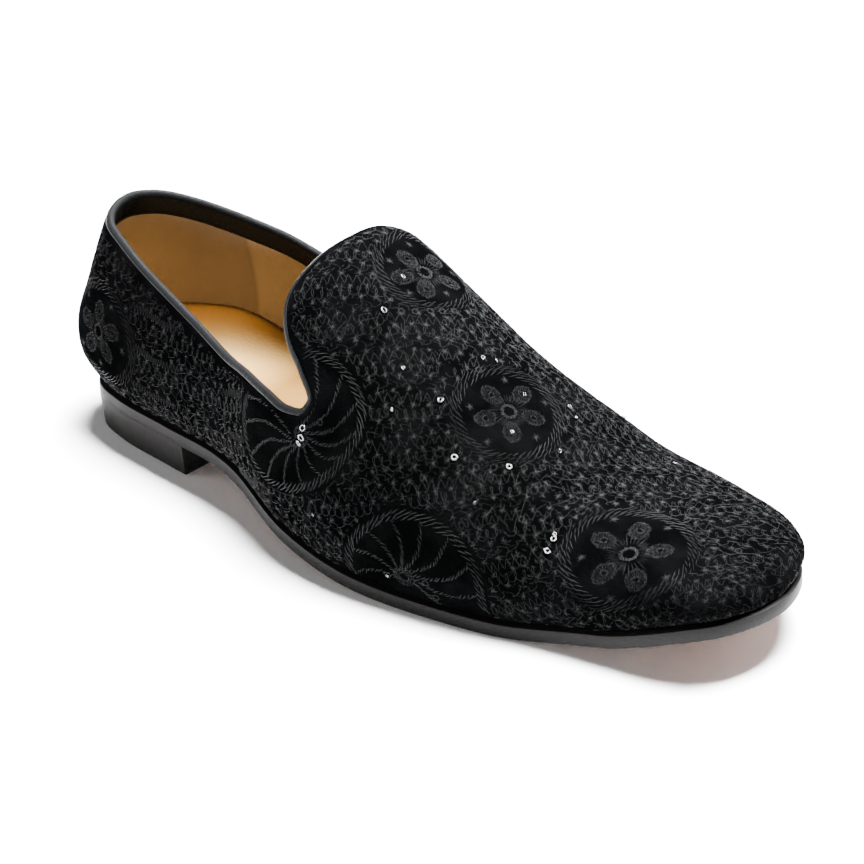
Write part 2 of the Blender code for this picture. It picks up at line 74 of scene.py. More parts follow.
BINDING_DEPTH = 0.0073     # how deep its inner leg reaches into the shoe
GAP = 0.0003               # clearance between curved pieces that meet

# Mesh density
HALF_RIBS = 161            # ribs from the back to the toe on one side, ends included
RINGS = 57                 # rings from the sole to the binding's lower edge, ends included
BAND_RINGS = 6             # rings from there to the opening
OUTLINE_POINTS = 161       # points along one side of the outsole, ends included
HEEL_POINTS = 60           # points along one side of the heel block
EDGE_SAMPLES = 400         # samples along the opening before its ribs are spaced
BACK_CROWDING = 1.5        # how much those samples crowd towards the back
SEARCH_STEPS = 80          # samples along a rib before its rings are spaced
MARCH_STEPS = 40           # steps outwards from a rib's centre before its surface is bracketed
MARCH_REACH = 0.194        # how far those steps go
HALVINGS = 18              # halvings of that bracket
SOLVER_STEPS = 6           # rounds in which the share of the length at a point is found
CUP_CURVE = (              # inward and curl, shares of the cup
    (0.06, 0.955), (0.12, 0.90), (0.20, 0.74), (0.30, 0.56), (0.40, 0.42), (0.50, 0.29), (0.60, 0.19),
    (0.70, 0.11), (0.85, 0.03), (1.0, 0.0),
)
LOW_RINGS = 26             # rings among which the insole's edge lies
CROWDING = 0.7             # how much the rings of the longest rib crowd towards the toe
SHORT_RIB = 0.070          # ribs up to this length have even rings
LONG_RIB = 0.190
TINY = 1e-9

# The form of the foot, a row for each section from the back to the toe. at is a share of the length.
# outer, inner and crest are shares of the ball width: the outsole's outer edge, its inner edge and the
# line of the crown, each measured from the shoe's middle line. swell_outer and swell_inner are shares
# of SIDE_SWELL. rise is the crown's height over the outsole as a share of INSTEP_HEIGHT, and over the
# opening it is the height where the sides would meet. fullness is the power of the round section.
Section = namedtuple("Section", "at outer inner crest swell_outer swell_inner rise fullness")
SECTIONS = [Section(*row) for row in (
    (0.00, 0.000, 0.000, -0.010, 1.0, 1.0, 0.91, 1.90), (0.03, 0.195, 0.150, -0.010, 1.0, 1.0, 0.85, 2.04),
    (0.08, 0.256, 0.240, 0.000, 1.0, 1.0, 0.80, 2.18), (0.17, 0.296, 0.345, 0.012, 1.0, 1.0, 0.74, 2.32),
    (0.30, 0.355, 0.357, 0.012, 1.1, 1.4, 0.680, 2.46), (0.42, 0.488, 0.342, 0.015, 0.8, 1.7, 0.882, 2.51),
    (0.52, 0.534, 0.368, 0.000, 0.5, 1.5, 0.754, 2.24), (0.62, 0.511, 0.405, -0.005, 0.5, 0.9, 0.604, 2.10),
    (0.70, 0.472, 0.456, 0.000, 0.4, 0.5, 0.439, 2.21), (0.80, 0.391, 0.487, 0.020, 0.3, 0.3, 0.305, 2.21),
    (0.88, 0.344, 0.428, 0.025, 0.3, 0.3, 0.229, 2.35), (0.94, 0.298, 0.325, 0.020, 0.4, 0.5, 0.145, 2.70),
    (0.98, 0.215, 0.195, 0.010, 0.5, 0.6, 0.086, 2.80), (1.00, 0.000, 0.000, 0.000, 0.0, 0.0, 0.000, 2.80),
)]

# The outsole's underside. at is the share of the way from the heel's breast to the toe, heel the share
# of HEEL_HEIGHT and toe the share of TOE_SPRING that the underside stands at.
Lift = namedtuple("Lift", "at heel toe")
UNDERSIDE = [Lift(*row) for row in (
    (0.000, 1.00, 0.00), (0.040, 1.00, 0.00), (0.085, 0.95, 0.00), (0.177, 0.74, 0.00), (0.304, 0.32, 0.00),
    (0.443, 0.06, 0.00), (0.519, 0.00, 0.00), (0.646, 0.00, 0.00), (0.810, 0.00, 0.30), (1.000, 0.00, 1.00),
)]

# The back's curve. up is the share of the way from the outsole to the collar, swell the share of
# BACK_SWELL that the back stands out there, and lean the share of COLLAR_LEAN that it leans in.
Back = namedtuple("Back", "up swell lean")
BACK_CURVE = [Back(*row) for row in (
    (0.00, -0.40, 0.00), (0.15, 0.85, 0.00), (0.30, 1.08, 0.00), (0.60, 0.10, 0.12), (0.89, -0.10, 0.68),
    (1.00, 0.00, 1.00), (1.20, 0.00, 1.50),
)]

# The edge of the opening, from the back to the middle of the tongue, the same on both sides. at is a
# share of the length, girth the angle up the round section in degrees, and foot the share of the length
# from which the rib that ends there starts at the outsole.
Edge = namedtuple("Edge", "at girth foot")
OPENING = [Edge(*row) for row in (
    (0.000, 44.5, 0.000), (0.008, 45.1, 0.006), (0.032, 47.1, 0.026), (0.080, 47.0, 0.075),
    (0.160, 43.5, 0.150), (0.245, 40.4, 0.235), (0.330, 35.9, 0.320), (0.400, 32.2, 0.390),
    (0.440, 32.2, 0.475), (0.468, 36.0, 0.590), (0.477, 41.0, 0.700), (0.455, 46.4, 0.800),
    (0.425, 51.0, 0.880), (0.401, 60.0, 0.940), (0.397, 76.0, 0.975), (0.397, 90.0, 1.000),
)]

# The insole. at is a share of the length, bed the share of BED_THICKNESS in the middle there, and rim
# the share of BED_RIM that its edge curls up.
Bed = namedtuple("Bed", "at bed rim")
INSOLE = [Bed(*row) for row in (
    (0.00, 1.00, 0.80), (0.05, 1.00, 0.93), (0.10, 1.00, 1.00), (0.14, 0.95, 0.78), (0.18, 0.85, 0.56),
    (0.25, 0.70, 0.38), (0.35, 0.55, 0.26), (0.60, 0.45, 0.17), (0.85, 0.45, 0.15), (1.00, 0.45, 0.15),
)]

BACK_REACH = 0.30          # share of the length over which the back's curve fades out
TOE_REACH = 0.20           # share of the length over which the toe's swelling fades out
SWELL_FADE = 0.020         # half width under which the side swelling fades out, at the ends
SWELL_SHARE = 0.38         # widest level as a share of a low section's height
CENTRE_AT = (0.12, 0.84)   # shares of the length between which the ribs' centres stay
CENTRE_SIDE = 0.5          # how far those centres lie towards the rib's own foot
CENTRE_RISE = 0.35         # height of those centres as a share of the section's height
CENTRE_LIMIT = 0.060       # section height that counts for that at most
NUDGE = 0.002              # step over the form by which a normal is measured
PUT_REACH = 0.012          # how far a point is moved at most to lie on the form

OUTER, INNER = -1, 1
UPPER_LENGTH = SHOE_LENGTH - FEATHER_INSET
BREAST_AT = HEEL_LENGTH / SHOE_LENGTH


def unit(vectors):
    return vectors / np.linalg.norm(vectors, axis=-1, keepdims=True)


def lengths(points):
    """Length along a run of points up to each of them."""
    return np.concatenate([[0], np.cumsum(np.linalg.norm(np.diff(points, axis=0), axis=-1))])


def column(table, name):
    """One named column of a table as an array."""
    return np.array([getattr(row, name) for row in table], dtype=float)


def hermite(xs, ys, slopes, x):
    """Cubic curve through the points with the given slopes."""
    x = np.clip(x, xs[0], xs[-1])
    k = np.clip(np.searchsorted(xs, x, side="right") - 1, 0, len(xs) - 2)
    h = xs[k + 1] - xs[k]
    t = (x - xs[k]) / h
    start = (1 + 2 * t) * (1 - t) ** 2 * ys[k] + t * (1 - t) ** 2 * h * slopes[k]
    end = t**2 * (3 - 2 * t) * ys[k + 1] + t**2 * (t - 1) * h * slopes[k + 1]
    return start + end


def smooth(xs, ys, x):
    """Smooth curve through the points."""
    h = np.diff(xs)
    d = np.diff(ys) / h
    slopes = np.zeros(len(xs))
    slopes[1:-1] = (d[1:] * h[:-1] + d[:-1] * h[1:]) / (h[1:] + h[:-1])
    slopes[0] = 1.5 * d[0] - 0.5 * slopes[1]
    slopes[-1] = 1.5 * d[-1] - 0.5 * slopes[-2]
    return hermite(xs, ys, slopes, x)


def steady(xs, ys, x):
    """Smooth curve through the points that never swings past them, so equal rows stay flat."""
    d = np.diff(ys) / np.diff(xs)
    slopes = np.zeros(len(xs))
    same_way = d[1:] * d[:-1] > 0
    slopes[1:-1] = np.where(same_way, 2 * d[1:] * d[:-1] / (d[1:] + d[:-1] + TINY), 0)
    return hermite(xs, ys, slopes, x)


def section_value(name, u):
    return smooth(column(SECTIONS, "at"), column(SECTIONS, name), u)


def round_ended(values, u):
    """A width or height of the sections that closes in a round end where its rows say 0."""
    return np.sqrt(np.maximum(smooth(column(SECTIONS, "at"), values**2, u), 0))


def underside(u):
    """Height of the outsole's underside at a share of the length."""
    s = (u - BREAST_AT) / (1 - BREAST_AT)
    at = column(UNDERSIDE, "at")
    heel = steady(at, column(UNDERSIDE, "heel"), s) * HEEL_HEIGHT
    toe = steady(at, column(UNDERSIDE, "toe"), s) * TOE_SPRING
    return heel + toe


def sole_top(u):
    return underside(u) + SOLE_THICKNESS


def feather(u):
    """Height of the upper's foot."""
    return sole_top(u) + GAP


def crest(u):
    return section_value("crest", u) * BALL_WIDTH


def sole_half_width(u, side):
    """From the crown's line to the outsole's edge on one side."""
    middle = column(SECTIONS, "crest")
    edge = column(SECTIONS, "outer") + middle if side == OUTER else column(SECTIONS, "inner") - middle
    edge[0] = 0
    edge[-1] = 0
    return round_ended(edge, u) * BALL_WIDTH


def crown(u):
    """Height of the section's top."""
    return feather(u) + round_ended(column(SECTIONS, "rise"), u) * INSTEP_HEIGHT


def half_width(u, z, side):
    """From the crown's line to the upper's outer face, at a share of the length and a height."""
    sole = sole_half_width(u, side)
    swell = section_value("swell_outer" if side == OUTER else "swell_inner", u) * SIDE_SWELL
    fade = np.clip(sole / SWELL_FADE, 0, 1)
    body = sole + swell * fade
    foot = sole - FEATHER_INSET * fade
    low = feather(u)
    high = crown(u)
    level = low + np.minimum(SWELL_HEIGHT, SWELL_SHARE * (high - low))
    power = section_value("fullness", u)
    over = np.clip((z - level) / np.maximum(high - level, TINY), 0, 1)
    under = np.clip((level - z) / np.maximum(level - low, TINY), 0, 1)
    return np.where(z > level, body * (1 - over**power) ** (1 / power), body - (body - foot) * under**2)


def fore_shift(u, z):
    """How far the back's curve and the toe's swelling move a point forward."""
    seat = HEEL_HEIGHT + SOLE_THICKNESS
    up = (z - seat) / (COLLAR_HEIGHT - seat)
    rows = column(BACK_CURVE, "up")
    back = COLLAR_LEAN * smooth(rows, column(BACK_CURVE, "lean"), up)
    back = back - BACK_SWELL * smooth(rows, column(BACK_CURVE, "swell"), up)
    rise = np.clip((z - sole_top(1.0)) / TOE_BOX_HEIGHT, 0, 1)
    toe = TOE_SWELL * rise * (2 - rise)
    return back * np.clip(1 - u / BACK_REACH, 0, 1) ** 1.5 + toe * np.clip(1 - (1 - u) / TOE_REACH, 0, 1) ** 2


def share_at(x, z):
    """The share of the length whose section passes through x at the height z."""
    u = np.clip(x / UPPER_LENGTH, 0, 1)
    for _ in range(SOLVER_STEPS):
        u = np.clip((x - fore_shift(u, z)) / UPPER_LENGTH, 0, 1)
    return u


def on_form(u, girth, side):
    """Point of the form at a share of the length and an angle up its round section."""
    low = feather(u)
    z = low + (crown(u) - low) * np.sin(np.radians(np.clip(girth, 0, 90)))
    x, y = u * UPPER_LENGTH + fore_shift(u, z), crest(u) + side * half_width(u, z, side)
    return np.stack([x, y, z], axis=-1)


def within(points):
    """Whether points lie inside the form."""
    x, y, z = points[..., 0], points[..., 1], points[..., 2]
    u = share_at(x, z)
    middle = crest(u)
    reach = np.where(y < middle, half_width(u, z, OUTER), half_width(u, z, INNER))
    after_back = x > fore_shift(np.zeros_like(u), z)
    before_toe = x < UPPER_LENGTH + fore_shift(np.ones_like(u), z)
    return (z < crown(u)) & (np.abs(y - middle) < reach) & after_back & before_toe


def arc(points):
    """Length along a run of points, as a share of the whole."""
    along = lengths(points)
    return along / along[-1]


def opening_ribs(side):
    """Where the ribs of one side end at the opening and start at the outsole, evenly spaced on both."""
    at, girth, foot = column(OPENING, "at"), column(OPENING, "girth"), column(OPENING, "foot")
    knots = arc(on_form(at, girth, side))
    t = np.linspace(0, 1, EDGE_SAMPLES) ** BACK_CROWDING
    at, girth, foot = smooth(knots, at, t), smooth(knots, girth, t), steady(knots, foot, t)
    at = np.maximum(at, 0)
    girth = np.minimum(girth, 90)
    spread = (arc(on_form(at, girth, side)) + arc(on_form(foot, np.zeros_like(foot), side))) / 2
    want = np.linspace(0, 1, HALF_RIBS)
    return np.interp(want, spread, at), np.interp(want, spread, girth), np.interp(want, spread, foot)


def rays(start, end, centre):
    """Directions from each rib's centre that turn evenly from its start to its end."""
    a, b = unit(start - centre), unit(end - centre)
    angle = np.arccos(np.clip((a * b).sum(axis=-1), -1, 1))[:, None, None]
    s = np.linspace(0, 1, SEARCH_STEPS)[None, :, None]
    return (np.sin((1 - s) * angle) * a[:, None] + np.sin(s * angle) * b[:, None]) / np.sin(angle)


def first_exit(centre, direction):
    """How far along each direction the form's surface lies."""
    shape = direction.shape[:2]
    near = np.zeros(shape)
    far = np.full(shape, SHOE_LENGTH)
    found = np.zeros(shape, dtype=bool)
    for r in np.linspace(0, MARCH_REACH, MARCH_STEPS)[1:]:
        outside = ~within(centre[:, None] + direction * r)
        far = np.where(outside & ~found, r, far)
        found |= outside
        near = np.where(found, near, r)
    for _ in range(HALVINGS):
        middle = (near + far) / 2
        inside = within(centre[:, None] + direction * middle[..., None])
        near = np.where(inside, middle, near)
        far = np.where(inside, far, middle)
    return far


def put_on_form(points, normal):
    """Moves points along the normal onto the form's surface."""
    near = points - normal * PUT_REACH
    far = points + normal * PUT_REACH
    for _ in range(HALVINGS):
        middle = (near + far) / 2
        inside = within(middle)[..., None]
        near = np.where(inside, middle, near)
        far = np.where(inside, far, middle)
    return far


def divided(rib, count):
    """A rib with its points spaced anew, closer together at the foot where the rib is long."""
    along = lengths(rib)
    power = 1 + CROWDING * np.clip((along[-1] - SHORT_RIB) / (LONG_RIB - SHORT_RIB), 0, 1)
    want = along[-1] * np.linspace(0, 1, count) ** power
    return np.stack([np.interp(want, along, rib[:, k]) for k in range(3)], axis=-1)


def run_from_foot(start, end, foot):
    """Ribs over the form from the outsole to the given ends."""
    middle = np.clip(foot, *CENTRE_AT)
    low = feather(middle)
    centre_z = low + CENTRE_RISE * np.minimum(crown(middle) - low, CENTRE_LIMIT)
    centre_y = crest(middle) + CENTRE_SIDE * (start[:, 1] - crest(foot))
    centre = np.stack([middle * SHOE_LENGTH, centre_y, centre_z], axis=-1)
    direction = rays(start, end, centre)
    points = centre[:, None] + direction * first_exit(centre, direction)[..., None]
    points[:, 0] = start
    points[:, -1] = end
    return points


def side_ends(side):
    """The feet of one side's ribs, their ends at the opening, the normals there and the feet's shares."""
    at, girth, foot = opening_ribs(side)
    start, end = on_form(foot, np.zeros_like(foot), side), on_form(at, girth, side)
    return start, end, normal_at(at, girth, side), foot


def all_round(outer, inner):
    """One run round the shoe: the outer side from back to toe, then the inner side from toe to back."""
    seam = (outer[[0, -1]] + inner[[0, -1]]) / 2
    outer = outer.copy()
    outer[[0, -1]] = seam
    return np.concatenate([outer, inner[-2:0:-1]])


def normal_at(at, girth, side):
    """Outward unit normal of the form."""
    ahead, behind = np.minimum(at + NUDGE, 1), np.maximum(at - NUDGE, 0)
    step_at = on_form(ahead, girth, side) - on_form(behind, girth, side)
    turn = np.degrees(NUDGE)
    step_up = on_form(at, girth + turn, side) - on_form(at, girth - turn, side)
    return unit(np.cross(step_at, step_up) * -side)


def up_over(edge, normal):
    """The way up over the opening's edge, square to it and in the wall."""
    along = np.roll(edge, -1, axis=0) - np.roll(edge, 1, axis=0)
    return unit(np.cross(normal, along))


def whole_grid():
    """Points and outward normals of the upper's outer face, ribs by rings from the outsole up."""
    outer, inner = side_ends(OUTER), side_ends(INNER)
    start, edge, normal, foot = (all_round(a, b) for a, b in zip(outer, inner))
    normal = unit(normal)
    up = up_over(edge, normal)
    band = [put_on_form(edge - up * BINDING_DEPTH * k / BAND_RINGS, normal) for k in range(BAND_RINGS + 1)]
    band[0] = edge
    ribs = run_from_foot(start, band[-1], foot)
    low = np.array([divided(rib, RINGS) for rib in ribs])
    grid = np.concatenate([low] + [ring[:, None] for ring in band[-2::-1]], axis=1)
    return grid, face_normals(grid), up


def face_normals(grid):
    """Outward unit normal at each point of the whole grid."""
    around = np.roll(grid, -1, axis=0) - np.roll(grid, 1, axis=0)
    return unit(np.cross(around, np.gradient(grid, axis=1)))


def drawn_in_outline(outline, inset):
    """A plan outline, from the back along the outer side to the toe and back, moved in by inset."""
    ahead = np.roll(outline, -1, axis=0) - np.roll(outline, 1, axis=0)
    return outline + unit(np.stack([-ahead[:, 1], ahead[:, 0]], axis=-1)) * inset


def sole_outline(inset):
    """Plan of the outsole's edge, moved in by inset."""
    u = (1 - np.cos(np.linspace(0, np.pi, OUTLINE_POINTS))) / 2
    outer = np.stack([u * SHOE_LENGTH, crest(u) - sole_half_width(u, OUTER)], axis=-1)
    inner = np.stack([u * SHOE_LENGTH, crest(u) + sole_half_width(u, INNER)], axis=-1)
    return drawn_in_outline(np.concatenate([outer, inner[-2:0:-1]]), inset)


def flat_layer(outline, height):
    """The outline at the height that a function gives for each share of the length."""
    u = np.clip(outline[:, 0] / SHOE_LENGTH, 0, 1)
    return np.column_stack([outline, height(u)])


def bed_value(name, x):
    return steady(column(INSOLE, "at"), column(INSOLE, name), np.clip(x / SHOE_LENGTH, 0, 1))


def up_the_wall(inside, rise):
    """Points of the inner face at a rise over its foot, one on each rib."""
    found = []
    for rib, z in zip(inside, inside[:, 0, 2] + rise):
        found.append([np.interp(z, rib[:LOW_RINGS, 2], rib[:LOW_RINGS, k]) for k in range(3)])
    return np.array(found)


def inner_face(grid, normals):
    """The upper's inner face, a wall's thickness inside the form and level with it at the foot."""
    inside = grid - normals * UPPER_WALL
    inside[:, 0, 2] = grid[:, 0, 2]
    return inside


# Finish of the pieces
MM = 0.001
SEED = 11
CLOTH_SHARE = 0.5          # velvet's share of the upper's wall, the rest is lining
LINING_STEP = 2            # every how many rings of the wall the lining has one
LINING_SEAM_RIB = 29       # ribs from the back to the edge of the lining's heel patch
HEEL_PATCH = 0.00025       # how far that patch stands out from the lining
BACK_LIGHTENING = 0.95           # how light the lining is made at the very back
BACK_LIGHTENING_RIBS = 18        # ribs from the back over which that fades out
TOP_TURNS = np.arange(12, 172, 12)  # degrees over the binding's round top, from outside to inside
TOP_WEAR_AND_PAINTED_HIGHLIGHT = 0.75            # painted highlight along the middle of the binding's top, with some wear
SOCK_PAINTED_LIGHT = (0.034, 0.034) # where the sock's painted light and shade begins to change, and over what length
EDGE_ROUNDING = 0.3        # a first, smaller step of the outsole's bevel, as a share of it
HEEL_OVERLAP = 1.02        # how far the heel block goes up into the outsole, in bevels
FACES_DOWN = -0.85         # faces whose normal points lower than this show the sole's leather
SHARP_ANGLE = 40           # edges of sole and heel sharper than this keep their crease, in degrees
FLAT_STEP = 2              # every how many ribs and rings the wall is laid flat
FLAT_ROUNDS = 30           # rounds of the laying flat
NEWTON_STEPS = 5           # rounds in which a flat position is found inside its cell
FOOT_MARGIN = 0.8          # rings at the wall's foot that carry no stitch
TOP_MARGIN = 0.9           # rings at the opening that carry no stitch


def linked(name, data):
    """An object in the scene."""
    item = bpy.data.objects.new(name, data)
    bpy.context.scene.collection.objects.link(item)
    return item


def placed(name, mesh, material, node):
    """A smooth piece in the frame's place that stands for a node and wears the given material."""
    mesh.transform(Matrix.Translation(SHIFT))
    mesh.materials.append(material)
    mesh.shade_smooth()
    item = linked(name, mesh)
    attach(item, "root")
    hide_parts(node)
    return item


def new_mesh(name, points, faces):
    mesh = bpy.data.meshes.new(name)
    mesh.from_pydata(np.asarray(points).tolist(), [], np.asarray(faces).tolist())
    return mesh


def number_points(mesh, name, values):
    """Gives each point of a mesh a number that its material reads."""
    numbers = mesh.attributes.new(name, "FLOAT", "POINT").data
    numbers.foreach_set("value", np.asarray(values, dtype=np.float32))


def cells(k):
    """The cells of a grid of point numbers, by their corners."""
    corners = [k[..., :-1, :-1], k[..., 1:, :-1], k[..., 1:, 1:], k[..., :-1, 1:]]
    return np.stack(corners, axis=-1).reshape(-1, 4)


def bands(count, length, closed):
    """Quads between neighbouring loops of points, each loop closed in itself."""
    k = np.arange(count * length).reshape(count, length)
    k = np.concatenate([k, k[:, :1]], axis=1)
    if closed:
        k = np.concatenate([k, k[:1]])
    return cells(k)[:, [0, 3, 2, 1]]


def skin(name, loops):
    """A skin through loops of points, the last loop joined to the first."""
    return new_mesh(name, np.concatenate(loops), bands(len(loops), len(loops[0]), True))


def closed_body(bm, mesh):
    """Turns the faces of a closed body outwards and puts it into a mesh."""
    bmesh.ops.recalc_face_normals(bm, faces=bm.faces)
    bm.to_mesh(mesh)
    bm.free()
    return mesh


def plate(name, loops):
    """A closed plate from a stack of outlines, with strips across its bottom and top."""
    count, length = len(loops), len(loops[0])
    faces = bands(count, length, False).tolist()
    half = length // 2
    for base, upwards in ((0, False), ((count - 1) * length, True)):
        strips = [[0, 1, length - 1], [half, half + 1, half - 1]]
        strips += [[i, i + 1, length - i - 1, length - i] for i in range(1, half - 1)]
        faces += [[base + i for i in (strip if upwards else strip[::-1])] for strip in strips]
    mesh = bpy.data.meshes.new(name)
    mesh.from_pydata(np.concatenate(loops).tolist(), [], faces)
    bm = bmesh.new()
    bm.from_mesh(mesh)
    return closed_body(bm, mesh)


def ramp(values, start, reach):
    """How far values have gone from a start over a reach, from 0 to 1."""
    return np.clip((values - start) / reach, 0, 1)


def lines_of(points):
    """Length of all lines of a grid of points."""
    return sum(np.linalg.norm(np.diff(points, axis=k), axis=-1).sum() for k in (0, 1))


class Cloth:
    """The wall's outer face laid flat, cut open at the back: +X towards the toe from the end of the tongue,
    the outer side towards -Y. Flat positions are in millimetres."""

    def __init__(self, grid, normals):
        self.grid, self.normals = grid, normals
        self.flat = self.laid_flat(np.concatenate([grid, grid[:1]])[::FLAT_STEP, ::FLAT_STEP])
        ribs, rings = self.flat.shape[:2]
        self.cells = cells(np.arange(ribs * rings).reshape(ribs, rings))
        corners = np.dstack([self.flat, np.zeros((ribs, rings))]).reshape(-1, 3)
        self.tree = BVHTree.FromPolygons(corners.tolist(), self.cells.tolist())

    def laid_flat(self, points):
        ribs, rings = points.shape[:2]
        bm = bmesh.new()
        rows = [[bm.verts.new(p) for p in rib] for rib in points[:-1]]
        rows.append(rows[0])
        for a, b in zip(rows, rows[1:]):
            for j in range(rings - 1):
                bm.faces.new((a[j], b[j], b[j + 1], a[j + 1]))
        for j in range(rings - 1):
            bm.edges.get((rows[0][j], rows[0][j + 1])).seam = True
        mesh = bpy.data.meshes.new("laid_flat")
        bm.to_mesh(mesh)
        bm.free()
        item = linked("laid_flat", mesh)
        for other in bpy.context.selected_objects:
            other.select_set(False)
        bpy.context.view_layer.objects.active = item
        item.select_set(True)
        mesh.uv_layers.new(name="flat")
        bpy.ops.object.mode_set(mode="EDIT")
        bpy.ops.mesh.select_all(action="SELECT")
        bpy.ops.uv.unwrap(method="MINIMUM_STRETCH", margin=0.0, iterations=FLAT_ROUNDS)
        bpy.ops.object.mode_set(mode="OBJECT")
        corner = np.zeros(len(mesh.loops) * 2)
        mesh.uv_layers[0].data.foreach_get("uv", corner)
        corner = corner.reshape(ribs - 1, rings - 1, 4, 2)
        bpy.data.objects.remove(item)
        bpy.data.meshes.remove(mesh)
        flat = np.zeros((ribs, rings, 2))
        flat[:-1, :-1] = corner[:, :, 0]
        flat[:-1, -1] = corner[:, -1, 3]
        flat[-1, :-1] = corner[-1, :, 1]
        flat[-1, -1] = corner[-1, -1, 2]
        flat *= lines_of(points) / lines_of(flat) / MM
        middle = ribs // 2
        ahead = unit(flat[middle, 0] - flat[middle, -1])
        flat = flat - flat[middle, -1]
        flat = np.stack([flat @ ahead, flat @ np.array([-ahead[1], ahead[0]])], axis=-1)
        if flat[ribs // 4, 0, 1] > 0:
            flat[..., 1] *= -1
        return flat

    def place(self, flat):
        """Points on the wall, outward normals there, and whether the flat positions lie on the cloth."""
        want = flat.reshape(-1, 2)
        down = Vector((0, 0, -1))
        hits = [self.tree.ray_cast(Vector((x, y, 1)), down)[2] for x, y in want.tolist()]
        cell = np.array([-1 if hit is None else hit for hit in hits])
        corner = self.flat.reshape(-1, 2)[self.cells[cell]]
        across = corner[:, 1] - corner[:, 0]
        upward = corner[:, 3] - corner[:, 0]
        twist = corner[:, 2] - corner[:, 1] - upward
        u = np.full(len(want), 0.5)
        v = u.copy()
        for _ in range(NEWTON_STEPS):
            miss = corner[:, 0] + across * u[:, None] + upward * v[:, None] + twist * (u * v)[:, None] - want
            a, b = across + twist * v[:, None], upward + twist * u[:, None]
            det = a[:, 0] * b[:, 1] - a[:, 1] * b[:, 0]
            det = np.where(np.abs(det) < TINY, TINY, det)
            u = np.clip(u - (miss[:, 0] * b[:, 1] - miss[:, 1] * b[:, 0]) / det, 0, 1)
            v = np.clip(v - (a[:, 0] * miss[:, 1] - a[:, 1] * miss[:, 0]) / det, 0, 1)
        rings = self.flat.shape[1] - 1
        rib = (cell // rings + u) * FLAT_STEP
        ring = (cell % rings + v) * FLAT_STEP
        good = (cell >= 0) & (ring > FOOT_MARGIN) & (ring < self.grid.shape[1] - 1 - TOP_MARGIN)
        points, normals = (self.between(table, rib, ring) for table in (self.grid, self.normals))
        shape = flat.shape[:-1]
        return points.reshape(*shape, 3), unit(normals).reshape(*shape, 3), good.reshape(shape)

    def between(self, table, rib, ring):
        ribs, rings = table.shape[:2]
        i, j = np.floor(rib).astype(int), np.minimum(np.floor(ring).astype(int), rings - 2)
        s, t = (rib - i)[:, None], (ring - j)[:, None]
        i, after = i % ribs, (i + 1) % ribs
        low = table[i, j] * (1 - s) + table[after, j] * s
        high = table[i, j + 1] * (1 - s) + table[after, j + 1] * s
        return low * (1 - t) + high * t


# Thread, in flat millimetres. Its tone goes from 0, as dark as the velvet, to 1.
THIN_THREAD = 0.2
FINE_THREAD = 0.22
STITCH_POINTS = 4          # points along a stitch
PIECE_POINTS = 9           # points along each piece of a long thread
THREAD_RISE = 1.5          # height of its round top over the cloth, in half widths
THREAD_SINK = 0.06         # how deep its sides go into the cloth
END_SHARE = 0.45           # share of its width that a stitch keeps at its ends
END_POWER = 0.4            # how suddenly it narrows towards them

# A rope is a row of slanted stitches. Its slant is in degrees.
Rope = namedtuple("Rope", "slant length pitch width tone")
ROPE_LENGTHS = (0.7, 1.15) # shares of that length that its stitches have
ROPE_TONES = (-0.35, 0.2)  # how much they differ from its tone
ROPE_LEAN_STRAY = 0.16     # how far their ends stray
ROPE_PATH_STRAY = 0.13     # how far their middles stray

# A star is a knot of stitches that cross in the middle.
STAR_TURN = 9              # how far its arms are turned from even spacing, in degrees
STAR_REACH = (0.75, 1.15)  # shares of its size that its arms have
STAR_STRAY = 0.18
STAR_TONES = (-0.3, 0.3)

# A medallion has a bare disc, ropes round it, a flower in its middle and small stars between the petals.
Medallion = namedtuple("Medallion", "x y wide high size petals stars")
MEDALLIONS = (
    Medallion(26.2, 9.0, 14.5, 16.0, 1.0,
              ((19.8, 5.4), (25.2, -2.1), (33.0, 2.0), (33.5, 13.9), (23.3, 16.9)),
              ((17.6, -1.2), (31.5, -4.6), (37.4, 8.0), (14.6, 11.6), (29.0, 21.6))),
    Medallion(86.0, -8.5, 15.5, 16.5, 1.0,
              ((77.4, -8.6), (82.6, 1.4), (91.9, -1.8), (92.4, -12.5), (83.2, -16.5)),
              ((75.1, -0.1), (76.7, -18.0), (89.0, 6.6), (90.4, -22.3), (98.4, -6.6))),
    Medallion(155.6, -21.0, 18.6, 18.6, 1.12,
              ((145.1, -21.7), (150.7, -11.0), (163.1, -14.7), (166.1, -28.6), (155.0, -31.8)),
              ((140.6, -12.0), (156.5, -4.0), (144.3, -31.5), (173.6, -22.8), (162.8, -37.8))),
    Medallion(22.0, -201.5, 15.0, 16.0, 1.0,
              ((14.5, -203.0), (20.5, -210.0), (28.5, -207.0), (27.5, -197.5), (18.5, -194.5)),
              ((9.5, -196.0), (12.5, -212.0), (34.0, -201.5), (23.0, -188.5), (31.5, -212.5))),
    Medallion(22.0, 186.0, 15.0, 16.0, 1.0,
              ((14.5, 187.5), (20.5, 194.5), (28.5, 191.5), (27.5, 182.0), (18.5, 179.0)),
              ((9.5, 180.5), (12.5, 196.5), (34.0, 186.0), (23.0, 173.0), (31.5, 197.0))),
)
RIM_ROPES = (              # how far out from the disc each rope lies, and what it is
    (0.9, Rope(30, 4.2, 2.4, 0.28, 0.75)), (2.3, Rope(24, 4.2, 2.4, 0.28, 0.6)),
    (3.7, Rope(20, 4.2, 2.4, 0.28, 0.45)))
HUB_RADIUS = 2.7           # ring in the middle of the flower
HUB_ROPES = ((1.0, Rope(35, 1.2, 0.5, 0.24, 0.95)), (0.8, Rope(-35, 1.2, 0.5, 0.24, 0.95)))
BETWEEN_PETALS = (0.4, 0.5, 0.6)  # where stitches lie on the way from one petal to the next
BETWEEN_REACH = (3.4, 7.0) # how far from the flower's middle they start and end
BETWEEN_TONES = (0.15, 0.4)
STAR_KNOTS = ((3.4, 6, 0.5), (2.2, 4, 0.6))  # size, arms and tone of the knots that make up its stars
